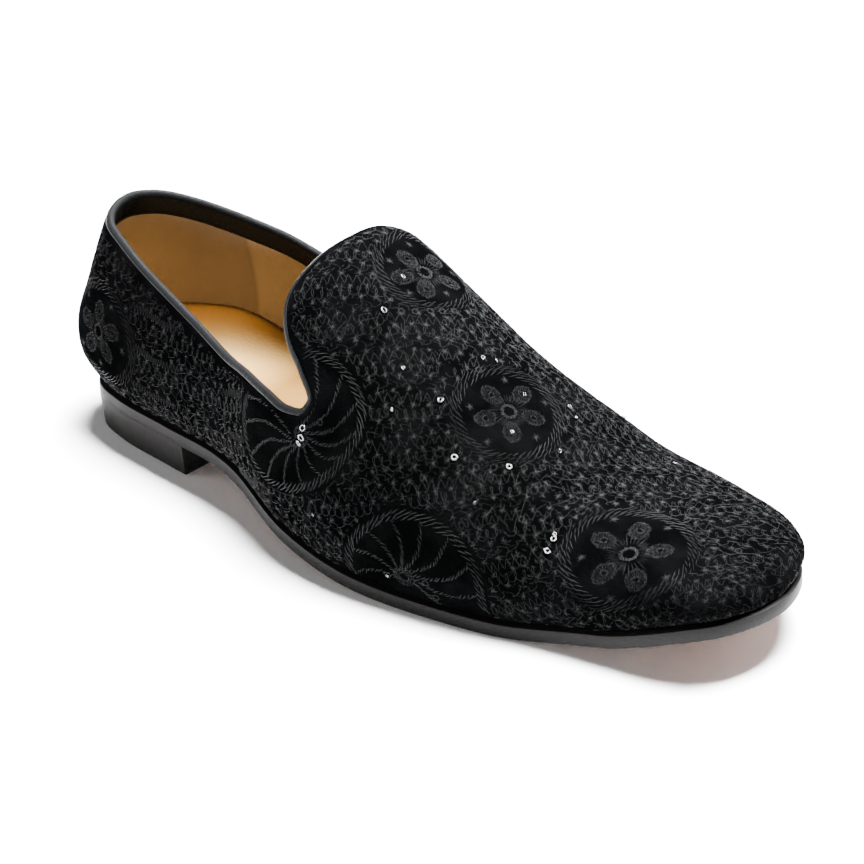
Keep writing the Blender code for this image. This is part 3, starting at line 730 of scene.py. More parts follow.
PETAL = (3.9, 3.0)         # half length and half width
PETAL_ROPES = ((1.0, Rope(35, 1.15, 0.62, 0.22, 0.62)), (0.84, Rope(-40, 1.15, 0.62, 0.22, 0.38)))
EYE = (1.1, 1.0)           # half length and half width of the small ring in a petal
EYE_ROPE = Rope(30, 0.9, 0.5, 0.22, 0.8)
PETAL_TURN = 20.0          # from one stitch across the petal to the next, in degrees
PETAL_REACH = (0.8, 1)     # shares of the petal's size that they have
PETAL_STITCH = (0.42, 0.9) # shares of that reach at which they start and end
PETAL_TONE = 0.5
VEIN_TURNS = (-22, -11, 0, 11, 22)  # stitches from the flower's middle, in degrees from the petal's line
VEIN_START = 0.36
VEIN_ENDS = (0.7, 0.95)
VEIN_TONE = 0.38
CIRCLE_POINTS = {          # points round each kind of ring, with its first point twice
    "rim": 120, "hub": 30, "petal": 40, "eye": 14, "wheel hub": 26, "flower": 14}

# A wheel has a hub, ropes along the path round it, and twisted spokes that bend on their way to the ropes.
Wheel = namedtuple("Wheel", "hub path spokes")
WHEELS = (
    Wheel((42.6, -74.0),
          ((19, -104), (27, -109.5), (37.5, -110), (46.3, -103.6), (51.9, -94.3), (56.5, -82.8),
           (59.5, -67.7), (58.6, -55.5), (53.7, -48.5), (46, -44.8), (36.5, -44), (28, -47), (22, -52)), 13),
    Wheel((101.5, -78.0),
          ((88, -94), (82.5, -82), (83.5, -72), (88, -62), (97, -55.5), (108, -53.5), (118, -57), (125, -66),
           (129, -74)), 9),
)
WHEEL_POINTS = 120         # points along the path for its ropes
WHEEL_ROPES = ((0.4, Rope(32, 4.6, 2.3, 0.32, 0.95)), (1.9, Rope(26, 4.6, 2.3, 0.32, 0.75)))
WHEEL_HUB = (              # radius of each ring round the hub, and its rope
    (1.8, Rope(30, 1.3, 0.7, 0.26, 0.8)), (2.7, Rope(30, 1.3, 0.7, 0.26, 0.7)),
    (3.6, Rope(30, 1.3, 0.7, 0.26, 0.6)))
SPOKE_ROPES = ((0.0, Rope(34, 2.6, 1.5, 0.28, 0.9)), (0.4, Rope(14, 2.2, 2.1, 0.24, 0.6)))
SPOKE_POINTS = 24
SPOKE_PITCH = 1.0          # spokes end at whole steps of this length along the path
SPOKE_START, SPOKE_WAY = 0.17, 0.80  # where a spoke starts and how far it goes, shares of the way out
SPOKE_BEND = 0.11          # how far it bends aside, as a share of that way

# A small flower is a ring of thread with stitches over it, both given in shares of its size.
FLOWER_SIZE = 2.9
FLOWER_RING = 0.36
FLOWER_TURN = 60           # from one stitch to the next, in degrees
FLOWER_STITCH = (0.2, 0.55)
FLOWER_STEP = 0.5          # between the points of the ring's thread
FLOWER_TONE = 0.7
FLOWERS = (
    (35.9, -12.6), (38.4, -8.5), (40.9, -3.6), (42.9, 0.3), (44.7, 4.5), (47.2, 12.1), (91.9, -35.3),
    (95.2, -31.3), (98.9, -26.9), (105.2, -18.7), (108.6, -13.1), (111.4, -8.5), (45.1, -62.3), (20.0, -11.0),
    (67.5, -5.5), (111.0, 3.0), (113.0, -19.5), (119.0, -33.0), (128.0, -12.0), (130.0, 3.0), (181.0, 2.5),
    (183.5, -9.0), (96.9, -82.7), (108.2, -74.0), (113.3, -77.1),
)

# Silver sequins: x, y and outer diameter.
SEQUINS = (
    (32.3, -17.5, 2.9), (52.7, -27.0, 1.5), (61.1, -39.6, 1.2), (69.4, -24.8, 2.6), (64.6, -0.7, 1.6),
    (67.7, 2.6, 1.9), (87.9, -34.5, 2.7), (101.9, -22.5, 2.4), (106.9, -3.3, 1.6), (94.1, 14.5, 2.0),
    (99.0, 13.1, 1.3), (104.1, -39.8, 1.0), (133.7, -36.3, 2.8), (132.3, -31.6, 2.6), (131.2, -30.0, 1.6),
    (41.2, -70.6, 2.7), (43.2, -73.6, 3.0), (44.0, -76.0, 2.5), (25.2, -2.0, 2.0), (83.0, 2.0, 1.6),
    (92.4, -12.5, 1.4), (66.0, -88.0, 1.0), (97.0, -82.7, 1.3), (64.0, 44.0, 1.8), (104.0, 38.0, 2.4),
    (132.0, 30.0, 2.0), (42.6, 74.0, 2.4), (44.6, 71.5, 1.8),
)
SEQUIN_SECTION = (         # shares of its radius and of its depth
    (0.52, 0.05), (0.58, 0.75), (0.78, 1.0), (1.0, 0.30), (0.95, 0.02))
SEQUIN_SIDES = 20
SEQUIN_RADIUS = 0.46       # as a share of the diameter
SEQUIN_DEPTH = 0.3
SEQUIN_LIFT = 0.28         # from the cloth to the sequin
SEQUIN_TILT = 0.22
SEQUIN_UPRIGHT = 0.9       # its sides are set out from z, or from x where its normal is nearer to z than this

# The fill has rows of stars with a thread after each row. A zone of it lies between near and far along x, on
# one side or, with side 0, on the vamp. Its rows are turned by angle from the way to the toe.
Zone = namedtuple("Zone", "name near far side angle across along")
ROW_ANGLE = 53.0
ROW_PITCH = 4.9
STAR_PITCH = 5.4
QUARTER_AT = 112.0         # from here back the fill's rows run along the sole
ZONES = (
    Zone("fill_vamp_back", -np.inf, 62, 0, ROW_ANGLE, (-110, 110), (-110, 150)),
    Zone("fill_vamp_middle", 62, 118, 0, ROW_ANGLE, (-170, 60), (-90, 170)),
    Zone("fill_vamp_front", 118, np.inf, 0, ROW_ANGLE, (-200, 20), (-10, 200)),
    Zone("fill_outer_quarter", -np.inf, np.inf, OUTER, 90.0, (-60, 20), (-245, -105)),
    Zone("fill_inner_quarter", -np.inf, np.inf, INNER, 90.0, (-60, 20), (105, 245)),
)
MEDALLION_MARGIN = 4.0     # how far round a medallion's disc the fill keeps off
WHEEL_MARGIN = 3.6         # how far round a wheel's path it does
WHEEL_BARE_POINTS = 90     # points along that path
FILL_STRAY = (0.35, 0.3)   # how far its stars stray along the row and across it
FILL_SIZES = (2.7, 3.6)
FILL_ARMS = 4
FILL_TONES = (0.7, 1.0)
KNOT_SHARE = 0.6           # share of its stars with a smaller knot over them
KNOT_STRAY = 0.25
KNOT_SIZES = (1.4, 2.2)
KNOT_TONE = 0.9
SWAYS = ((0.35, 0.31, 1.7), (0.2, 0.83, 1.0))  # reach, pace and change from row to row of a thread's sway
LOOPS = (3.0, 1.05, 1.75)  # length, reach along and reach across of a thread in loops
ZIGZAG = (3.1, 1.9)        # length and reach across of a zigzag
ZIGZAG_CHANGE = (0.25, 0.11)  # by how much its length changes, and how fast
QUARTER_TURN = 1.57        # about, in radians
WAVE = (6.3, 0.9, 1.2)     # length, reach along and reach across of a wave
PATH_STEP = 0.22           # between the points of such a thread's way
AFTER_STEP = 0.6           # between the points of the thread laid along it
SHORTEST_RUN = 8           # an open stretch with no more points of its way than this stays empty
AFTER_TONES = (0.26, 0.48)
LOOSE_COUNT = 26000        # loose stitches thrown over the whole cloth for each zone
CLOTH_LOW, CLOTH_HIGH = (-45, -245), (205, 230)  # corners of an area that holds the whole cloth
LOOSE = ((0.94, 0.6, 1.5, 0.55), (0.06, 2.5, 5.0, 0.5))  # share, shortest, longest and tone
LOOSE_TONES = (-0.35, 0.3)

# Where stitches are made darker: start and reach of each fade, along x or y, and how much darker they get. On
# the inner side this is painted shade, where the overhead light falls strongly on the crown's far side.
TOE_END, TOE_DARKENING = (158, 26), 0.68
HEEL_ROUND, HEEL_UP, HEEL_DARKENING = (165, 12), (48, -12), 0.45
INNER_SIDE, INNER_AHEAD, INNER_PAINTED_SHADE = (-5, 30), (60, 30), 0.3


class Threads:
    """Stitches in flat positions, kept by how many points they have and whether their ends dip."""

    def __init__(self):
        self.runs = {}

    def add(self, runs, width, tone, dip):
        if len(runs):
            kept = self.runs.setdefault((runs.shape[1], dip), [])
            kept.append((runs, np.broadcast_to(width, len(runs)), np.broadcast_to(tone, len(runs))))

    def stitch(self, start, end, width, tone):
        start, end = np.atleast_2d(start), np.atleast_2d(end)
        t = np.linspace(0, 1, STITCH_POINTS)[None, :, None]
        self.add(start[:, None] * (1 - t) + end[:, None] * t, width, tone, True)

    def line(self, path, width, tone, step):
        """A long thread along a path, in pieces that share their end points."""
        path = respaced(path, step)
        for start in range(0, max(len(path) - 1, 1), PIECE_POINTS - 1):
            piece = path[start:start + PIECE_POINTS]
            if len(piece) > 1:
                self.add(piece[None], width, tone, False)


def respaced(path, step):
    along = lengths(path)
    count = max(int(round(along[-1] / step)), 1) + 1
    want = np.linspace(0, along[-1], count)
    return np.stack([np.interp(want, along, path[:, k]) for k in range(2)], axis=-1)


def curved(points, count):
    """A smooth path through a few points."""
    along = lengths(points)
    want = np.linspace(0, along[-1], count)
    return np.stack([smooth(along, points[:, k], want) for k in range(2)], axis=-1)


def turned(points, degrees):
    c, s = np.cos(np.radians(degrees)), np.sin(np.radians(degrees))
    x, y = points[..., 0], points[..., 1]
    return np.stack([x * c - y * s, x * s + y * c], axis=-1)


def ellipse(x, y, wide, high, kind):
    turn = np.linspace(0, 2 * np.pi, CIRCLE_POINTS[kind])
    return np.stack([x + wide * np.cos(turn), y + high * np.sin(turn)], axis=-1)


def ways(angles):
    return np.stack([np.cos(angles), np.sin(angles)], axis=-1)


def rope(threads, path, kind, hand=1):
    """Slanted stitches one after another along a path."""
    path = respaced(path, kind.pitch)
    ahead = unit(np.gradient(path, axis=0))
    lean = turned(ahead, kind.slant * hand) * (kind.length / 2 * rng.uniform(*ROPE_LENGTHS, (len(path), 1)))
    lean = lean + rng.normal(0, ROPE_LEAN_STRAY, lean.shape)
    path = path + rng.normal(0, ROPE_PATH_STRAY, path.shape)
    threads.stitch(path - lean, path + lean, kind.width, kind.tone + rng.uniform(*ROPE_TONES, len(path)))


def star(threads, x, y, size, arms, tone):
    """A knot of short stitches that cross in the middle."""
    angles = rng.uniform(0, 180) + np.arange(arms) * 180 / arms + rng.normal(0, STAR_TURN, arms)
    reach = size / 2 * rng.uniform(*STAR_REACH, arms)
    arm = ways(np.radians(angles)) * reach[:, None]
    middle = np.array([x, y]) + rng.normal(0, STAR_STRAY, (arms, 2))
    threads.stitch(middle - arm, middle + arm, FINE_THREAD, tone + rng.uniform(*STAR_TONES, arms))


def round_flower(threads, x, y):
    """A small flower: a ring of thread with stitches over it."""
    radius = FLOWER_SIZE * FLOWER_RING
    threads.line(ellipse(x, y, radius, radius, "flower"), FINE_THREAD, FLOWER_TONE, FLOWER_STEP)
    way = ways(np.radians(np.arange(0, 360, FLOWER_TURN) + rng.uniform(0, FLOWER_TURN)))
    start, end = (np.array([x, y]) + way * FLOWER_SIZE * reach for reach in FLOWER_STITCH)
    threads.stitch(start, end, FINE_THREAD, FLOWER_TONE)


def petal(threads, centre, at, size):
    """A petal: a rim of short slanted stitches, stitches across it, and a small ring in the middle."""
    out = at - centre
    angle = np.degrees(np.arctan2(out[1], out[0]))
    long_, wide = PETAL[0] * size, PETAL[1] * size
    for grow, kind in PETAL_ROPES:
        rope(threads, at + turned(ellipse(0, 0, long_ * grow, wide * grow, "petal"), angle), kind)
    rope(threads, ellipse(*at, EYE[0] * size, EYE[1] * size, "eye"), EYE_ROPE)
    turn = np.radians(np.arange(0, 360, PETAL_TURN) + rng.uniform(0, PETAL_TURN))
    way = ways(turn) * (long_, wide) * rng.uniform(*PETAL_REACH, (len(turn), 1))
    start, end = (at + turned(way * share, angle) for share in PETAL_STITCH)
    threads.stitch(start, end, THIN_THREAD, PETAL_TONE)
    for turn in VEIN_TURNS:
        side = turned(out, turn)
        end = centre + side * rng.uniform(*VEIN_ENDS)
        threads.stitch(centre + side * VEIN_START, end, THIN_THREAD, VEIN_TONE)


def medallion(threads, m):
    """A flower of petals with stars between them, and ropes round the whole."""
    petals = np.array(m.petals)
    centre = petals.mean(axis=0)
    for spot in petals:
        petal(threads, centre, spot, m.size)
    for grow, kind in HUB_ROPES:
        radius = HUB_RADIUS * grow * m.size
        rope(threads, ellipse(*centre, radius, radius, "hub"), kind)
    for a, b in zip(petals - centre, np.roll(petals, -1, axis=0) - centre):
        for share in BETWEEN_PETALS:
            way = unit(a * (1 - share) + b * share)
            start, end = (centre + way * reach * m.size for reach in BETWEEN_REACH)
            threads.stitch(start, end, THIN_THREAD, rng.uniform(*BETWEEN_TONES))
    for spot in m.stars:
        for size, arms, tone in STAR_KNOTS:
            star(threads, *spot, size * m.size, arms, tone)
    for out, kind in RIM_ROPES:
        rope(threads, ellipse(m.x, m.y, m.wide + out, m.high + out, "rim"), kind)


def on_side(w, side, count):
    """Hub and path of a wheel on one side. The table holds the outer one, and the inner one mirrors it."""
    flip = np.array([1, -side])
    return np.array(w.hub) * flip, curved(np.array(w.path) * flip, count)


def wheel(threads, w, side):
    """Ropes along a wheel's path, twisted spokes and rings round its hub."""
    hub, path = on_side(w, side, WHEEL_POINTS)
    outward = unit(path - hub)
    for out, kind in WHEEL_ROPES:
        rope(threads, path + outward * out, kind, -side)
    ends = respaced(path, SPOKE_PITCH)
    for pick in np.linspace(0, len(ends) - 1, w.spokes).round().astype(int):
        out = ends[pick] - hub
        far = np.linalg.norm(out)
        aside = np.array([-out[1], out[0]]) / far * side
        share = np.linspace(0, 1, SPOKE_POINTS)[:, None]
        bend = hub + out * (SPOKE_START + SPOKE_WAY * share)
        bend = bend + aside * far * SPOKE_BEND * np.sin(np.pi * share)
        for shift, kind in SPOKE_ROPES:
            rope(threads, bend + aside * shift, kind, -side)
    for radius, kind in WHEEL_HUB:
        rope(threads, ellipse(*hub, radius, radius, "wheel hub"), kind)


def bare(points):
    """Whether flat positions lie in a medallion or a wheel, where the velvet shows."""
    hit = np.zeros(points.shape[:-1], dtype=bool)
    for m in MEDALLIONS:
        disc = np.array([m.wide, m.high]) + MEDALLION_MARGIN
        hit |= (((points - (m.x, m.y)) / disc) ** 2).sum(axis=-1) < 1
    for w in WHEELS:
        for side in (OUTER, INNER):
            hub, path = on_side(w, side, WHEEL_BARE_POINTS)
            away, ring = points - hub, path - hub
            ring_angle = np.arctan2(ring[:, 1], ring[:, 0])
            order = np.argsort(ring_angle)
            reach = np.interp(np.arctan2(away[..., 1], away[..., 0]), ring_angle[order],
                              np.linalg.norm(ring, axis=-1)[order], period=2 * np.pi)
            hit |= np.linalg.norm(away, axis=-1) < reach + WHEEL_MARGIN
    return hit


def free_in(zone, points):
    """Whether flat positions lie in a zone, clear of the medallions and wheels."""
    x, y = points[..., 0], points[..., 1]
    on_vamp = np.abs(y) < QUARTER_AT
    there = ~on_vamp & (np.sign(y) == zone.side) if zone.side else on_vamp
    return there & (x >= zone.near) & (x < zone.far) & ~bare(points)


def thread_after(number, s):
    """The way along and across of the thread after a row: loops, a zigzag and a wave by turns."""
    sway = sum(reach * np.sin(s * pace + number * change) for reach, pace, change in SWAYS)
    if number % 3 == 1:
        length, along, across = LOOPS
        turn = s * 2 * np.pi / length
        return s + along * np.cos(turn), sway + across * np.sin(turn)
    if number % 3 == 2:
        length, across = ZIGZAG
        change, pace = ZIGZAG_CHANGE
        turn = s * 2 * np.pi / (length + change * np.sin(s * pace))
        return s, sway + across * np.arcsin(np.sin(turn)) / QUARTER_TURN
    length, along, across = WAVE
    turn = s * 2 * np.pi / length + number
    return s + along * np.cos(turn * 2), sway + across * np.sin(turn)


def fill_rows(threads, zone):
    """Rows of stars over one zone of the cloth, with a thread after each."""
    for number, across in enumerate(np.arange(*zone.across, ROW_PITCH)):
        s = np.arange(*zone.along, STAR_PITCH) + (number % 2) * STAR_PITCH / 2
        s = s + rng.normal(0, FILL_STRAY[0], len(s))
        spots = turned(np.stack([s, across + rng.normal(0, FILL_STRAY[1], len(s))], axis=-1), zone.angle)
        for spot in spots[free_in(zone, spots)]:
            star(threads, *spot, rng.uniform(*FILL_SIZES), FILL_ARMS, rng.uniform(*FILL_TONES))
            if rng.random() < KNOT_SHARE:
                at = spot + rng.normal(0, KNOT_STRAY, 2)
                star(threads, *at, rng.uniform(*KNOT_SIZES), FILL_ARMS, KNOT_TONE)
        along, beside = thread_after(number, np.arange(*zone.along, PATH_STEP))
        path = turned(np.stack([along, across + ROW_PITCH / 2 + beside], axis=-1), zone.angle)
        for run in runs_of(free_in(zone, path)):
            if len(run) > SHORTEST_RUN:
                threads.line(path[run], FINE_THREAD, rng.uniform(*AFTER_TONES), AFTER_STEP)


def runs_of(good):
    """Runs of indices over which good holds."""
    index = np.flatnonzero(good)
    return np.split(index, np.flatnonzero(np.diff(index) > 1) + 1) if len(index) else []


def scattered(threads, zone):
    """Loose stitches over the rows, a few of them long."""
    for share, shortest, longest, tone in LOOSE:
        spots = rng.uniform(CLOTH_LOW, CLOTH_HIGH, (int(LOOSE_COUNT * share), 2))
        spots = spots[free_in(zone, spots)]
        way = ways(rng.uniform(0, np.pi, len(spots)))
        reach = rng.uniform(shortest, longest, (len(spots), 1)) * way
        clear = ~bare(spots - reach) & ~bare(spots + reach)
        threads.stitch((spots - reach)[clear], (spots + reach)[clear], THIN_THREAD,
                       tone + rng.uniform(*LOOSE_TONES, clear.sum()))


def stitch_darkening_and_painted_shade(spots):
    """How light stitches stay: they are darker at the toe's end and over the heel, and painted shade darkens
    them on the inner side.
    """
    x, y = spots[..., 0], spots[..., 1]
    toe = ramp(x, *TOE_END)
    heel = ramp(np.abs(y), *HEEL_ROUND) * ramp(x, *HEEL_UP)
    inner = ramp(y, *INNER_SIDE) * ramp(x, *INNER_AHEAD)
    return (1 - TOE_DARKENING * toe) * (1 - HEEL_DARKENING * heel) * (1 - INNER_PAINTED_SHADE * inner)


def thread_object(name, threads):
    """All stitches of one zone as one mesh of round-topped strips on the cloth."""
    verts, faces, tones, base = [], [], [], 0
    for (count, dip), kept in sorted(threads.runs.items()):
        runs, width, tone = (np.concatenate([k[part] for k in kept]) for part in range(3))
        # Painted shade: stitches on the inner side are darkened where the overhead light falls strongly.
        tone = tone * stitch_darkening_and_painted_shade(runs.mean(axis=1))
        points, out, good = cloth.place(runs)
        keep = good.all(axis=1)
        points, out, width, tone = points[keep], out[keep], width[keep], tone[keep]
        if not len(points):
            continue
        side = np.cross(out, np.gradient(points, axis=1))
        side /= np.maximum(np.linalg.norm(side, axis=-1, keepdims=True), TINY)
        arch = np.sin(np.pi * np.linspace(0, 1, count)) ** END_POWER if dip else np.ones(count)
        arch = arch[None, :, None]
        half = (width / 2 * MM)[:, None, None]
        aside = side * half * (END_SHARE + (1 - END_SHARE) * arch)
        foot = points - out * THREAD_SINK * MM
        ring = np.stack([foot - aside, points + out * half * THREAD_RISE * arch, foot + aside], axis=2)
        faces.append(cells(base + np.arange(ring.size // 3).reshape(ring.shape[:3])))
        verts.append(ring.reshape(-1, 3))
        tones.append(np.repeat(tone, count * ring.shape[2]))
        base += ring.size // 3
    mesh = new_mesh(name, np.concatenate(verts), np.concatenate(faces))
    number_points(mesh, "tone", np.clip(np.concatenate(tones), 0, 1))
    return placed(name, mesh, THREAD, "upper")


def sequin_object(name):
    """Pressed metal rings, a little cupped, each tilted its own way."""
    verts, faces = [], []
    turns = ways(np.linspace(0, 2 * np.pi, SEQUIN_SIDES, endpoint=False))
    for (x, y, size), p, n, good in zip(SEQUINS, *cloth.place(np.array([s[:2] for s in SEQUINS]))):
        if not good:
            continue
        n = unit(n + rng.normal(0, SEQUIN_TILT, 3))
        a = unit(np.cross(n, [0.0, 0.0, 1.0] if abs(n[2]) < SEQUIN_UPRIGHT else [1.0, 0.0, 0.0]))
        b = np.cross(n, a)
        faces.append(bands(len(SEQUIN_SECTION), SEQUIN_SIDES, True) + len(verts) * SEQUIN_SIDES)
        for reach, height in SEQUIN_SECTION:
            middle = p + n * (SEQUIN_LIFT + height * SEQUIN_DEPTH) * MM
            verts.append(middle + turns @ np.stack([a, b]) * size * SEQUIN_RADIUS * reach * MM)
    return placed(name, new_mesh(name, np.concatenate(verts), np.concatenate(faces)), SEQUIN, "upper")


RELIEF_DETAIL, PATCH_DETAIL = 4.0, 5.0  # octaves of the noise


def finish_of(name, settings, bumps=(), patch=None, shade=None):
    """A Principled material with layers of fine relief. With patch a noise mixes in a second colour, and with
    shade a number on the mesh mixes two."""
    made = bpy.data.materials.new(name)
    made.use_nodes = True
    tree = made.node_tree
    shader = tree.nodes["Principled BSDF"]
    for key, value in settings.items():
        shader.inputs[key].default_value = value
    coords = tree.nodes.new("ShaderNodeTexCoord").outputs["Object"]
    normal = None
    for kind, scale, depth in bumps:
        texture = tree.nodes.new("ShaderNodeTex" + kind)
        if kind == "Noise":
            texture.inputs["Detail"].default_value = RELIEF_DETAIL
        texture.inputs["Scale"].default_value = scale
        tree.links.new(coords, texture.inputs["Vector"])
        bump = tree.nodes.new("ShaderNodeBump")
        bump.inputs["Strength"].default_value = 1.0
        bump.inputs["Distance"].default_value = depth
        tree.links.new(texture.outputs["Fac" if kind == "Noise" else "Distance"], bump.inputs["Height"])
        if normal is not None:
            tree.links.new(normal, bump.inputs["Normal"])
        normal = bump.outputs["Normal"]
    if normal is not None:
        tree.links.new(normal, shader.inputs["Normal"])
    if patch:
        colour, scale, low, high = patch
        cloud = tree.nodes.new("ShaderNodeTexNoise")
        cloud.inputs["Scale"].default_value = scale
        cloud.inputs["Detail"].default_value = PATCH_DETAIL
        share = tree.nodes.new("ShaderNodeMapRange")
        share.inputs["From Min"].default_value = low
        share.inputs["From Max"].default_value = high
        tree.links.new(coords, cloud.inputs["Vector"])
        tree.links.new(cloud.outputs["Fac"], share.inputs["Value"])
        colours, factor = (settings["Base Color"], colour), share.outputs["Result"]
    elif shade:
        number = tree.nodes.new("ShaderNodeAttribute")
        number.attribute_name = shade[0]
        colours, factor = shade[1:], number.outputs["Fac"]
    else:
        return made
    mix = tree.nodes.new("ShaderNodeMix")
    mix.data_type = "RGBA"
    mix.inputs["A"].default_value, mix.inputs["B"].default_value = colours
    tree.links.new(factor, mix.inputs["Factor"])
    tree.links.new(mix.outputs["Result"], shader.inputs["Base Color"])
    return made


VELVET = finish_of("velvet", {"Base Color": (0.00025, 0.00027, 0.0003, 1), "Roughness": 0.9,
                              "Specular IOR Level": 0.0, "Sheen Weight": 0.0025, "Sheen Roughness": 0.30,
                              "Sheen Tint": (0.60, 0.60, 0.66, 1)},
                   (("Noise", 900.0, 0.00035), ("Noise", 3200.0, 0.00025)),
                   patch=((0.0006, 0.00065, 0.0007, 1), 70.0, 0.42, 0.62))
THREAD = finish_of("thread", {"Base Color": (0.05, 0.05, 0.05, 1), "Roughness": 0.45, "Sheen Weight": 0.004,
                              "Sheen Roughness": 0.4, "Specular IOR Level": 0.015},
                   (("Noise", 4200.0, 0.00018),),
                   shade=("tone", (0.0006, 0.0006, 0.00065, 1), (0.0068, 0.0070, 0.0072, 1)))
SEQUIN = finish_of("sequin_metal", {"Base Color": (0.085, 0.086, 0.088, 1), "Roughness": 0.24,
                                    "Metallic": 1.0},
                   (("Noise", 1300.0, 0.00035),))
# Binding: the lighter second colour along its top is painted highlight, with some wear.
BINDING = finish_of("binding_leather", {"Base Color": (0.002, 0.002, 0.002, 1), "Roughness": 0.36,
                                        "Specular IOR Level": 0.008},
                    (("Voronoi", 900.0, 0.00010), ("Noise", 240.0, 0.00022)),
                    shade=("tone_and_painted_light", (0.0023, 0.0025, 0.0027, 1), (0.0056, 0.0056, 0.0057, 1)))
# Lining: the second, lighter colour lies in front of the heel patch and at the very back, the darker one on
# the patch. In front of the patch this is partly the patch's own tone and partly painted light.
LINING = finish_of("lining_leather", {"Base Color": (0.1, 0.07, 0.04, 1), "Roughness": 0.6,
                                      "Specular IOR Level": 0.06},
                   (("Voronoi", 700.0, 0.00008), ("Noise", 120.0, 0.0003), ("Noise", 28.0, 0.0012)),
                   shade=("tone_and_painted_light", (0.090, 0.069, 0.051, 1), (0.142, 0.109, 0.074, 1)))
# Sock: painted light and shade. Its back, in shade, is painted in the first, lighter colour, and its front,
# under the overhead light, in the second, darker one.
SOCK = finish_of("sock_leather", {"Base Color": (0.1, 0.06, 0.02, 1), "Roughness": 0.55,
                                  "Specular IOR Level": 0.05},
                 (("Voronoi", 800.0, 0.00009), ("Noise", 90.0, 0.0004)),
                 shade=("tone_and_painted_light", (0.34, 0.204, 0.066, 1), (0.076, 0.037, 0.006, 1)))
EDGE = finish_of("sole_edge", {"Base Color": (0.0042, 0.0041, 0.0041, 1), "Roughness": 0.46,
                               "Specular IOR Level": 0.016},
                 (("Noise", 500.0, 0.00008), ("Noise", 60.0, 0.00012)),
                 patch=((0.0050, 0.0048, 0.0047, 1), 40.0, 0.45, 0.85))
UNDER = finish_of("sole_leather", {"Base Color": (0.038, 0.014, 0.007, 1), "Roughness": 0.5,
                                   "Specular IOR Level": 0.1},
                  (("Noise", 600.0, 0.00010), ("Noise", 70.0, 0.0003)),
                  patch=((0.028, 0.010, 0.005, 1), 45.0, 0.45, 0.75))
FLOOR = finish_of("floor", {"Base Color": (0.88, 0.88, 0.88, 1), "Roughness": 0.7, "Specular IOR Level": 0.1})


def wall(name, outer, inner, material):
    """A wall of the upper between its outer and inner face."""
    loops = list(np.swapaxes(outer, 0, 1)) + list(np.swapaxes(inner, 0, 1)[::-1])
    return placed(name, skin(name, loops), material, "upper")


def soled(name, mesh, node):
    """A piece with a painted edge and a leather face underneath."""
    mesh = placed(name, mesh, EDGE, node).data
    mesh.materials.append(UNDER)
    for face in mesh.polygons:
        if face.normal.z < FACES_DOWN:
            face.material_index = 1
    mesh.set_sharp_from_angle(angle=np.radians(SHARP_ANGLE))


def block_of(name, layers):
    """A block through its layers, with one face below and one on top."""
    bm = bmesh.new()
    loops = []
    for layer in layers:
        verts = [bm.verts.new(p) for p in layer]
        loops.append([bm.edges.new((a, b)) for a, b in zip(verts, verts[1:] + verts[:1])])
    for first, second in zip(loops, loops[1:]):
        bmesh.ops.bridge_loops(bm, edges=first + second)
    for loop in (loops[0], loops[-1]):
        bmesh.ops.contextual_create(bm, geom=loop)
    return closed_body(bm, bpy.data.meshes.new(name))


# Upper
rng = np.random.default_rng(SEED)
outline = sole_outline(0.0)
SHIFT = Vector((*(np.array(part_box("outsole")[0][:2]) - outline.min(axis=0)), 0.0))
grid, normals, up = whole_grid()
inside = inner_face(grid, normals)
seam = grid - normals * UPPER_WALL * CLOTH_SHARE
seam[:, 0, 2] = grid[:, 0, 2]
wall("velvet_upper", grid, seam, VELVET)
rib_number = np.arange(len(grid))
ribs_from_back = np.minimum(rib_number, len(grid) - rib_number)
behind_seam = ribs_from_back < LINING_SEAM_RIB
far_back = BACK_LIGHTENING * ramp(ribs_from_back, BACK_LIGHTENING_RIBS, -BACK_LIGHTENING_RIBS)
lined = inside - normals * (behind_seam * HEEL_PATCH)[:, None, None]
lined[:, 0, 2] = inside[:, 0, 2]
lining = wall("leather_lining", seam[:, ::LINING_STEP], lined[:, ::LINING_STEP], LINING).data
rings = len(lining.vertices) // len(grid)
# Lighter in front of the heel patch and at the very back, darker on the patch: in front of it partly the
# patch's own tone, partly painted light.
number_points(lining, "tone_and_painted_light", np.tile(np.where(behind_seam, far_back, 1.0), rings))

# Binding
edge, out = grid[:, -1], normals[:, -1]
leg_face = -(UPPER_WALL + GAP)
inner_face_at = leg_face - BINDING_THICKNESS
levels = range(-BAND_RINGS - 1, 0)
tracks = [grid[:, k] + normals[:, k] * leg_face for k in levels]
tracks += [edge + out * leg_face + up * GAP, edge + up * GAP]
# Over the binding's round top the colour is painted lighter towards the middle: painted highlight, with some
# wear.
wear_and_painted_highlight = [0.0] * len(tracks)
for turn in np.radians(TOP_TURNS):
    across = inner_face_at / 2 * (1 - np.cos(turn))
    tracks.append(edge + out * across + up * (GAP + BINDING_RISE * np.sin(turn)))
    wear_and_painted_highlight.append(TOP_WEAR_AND_PAINTED_HIGHLIGHT * np.sin(turn) ** 3)
tracks += [grid[:, k] + normals[:, k] * inner_face_at for k in levels[::-1]]
wear_and_painted_highlight += [0.0] * len(levels)
binding = placed("folded_binding", skin("folded_binding", tracks), BINDING, "topline_binding")
number_points(binding.data, "tone_and_painted_light", np.repeat(wear_and_painted_highlight, len(grid)))

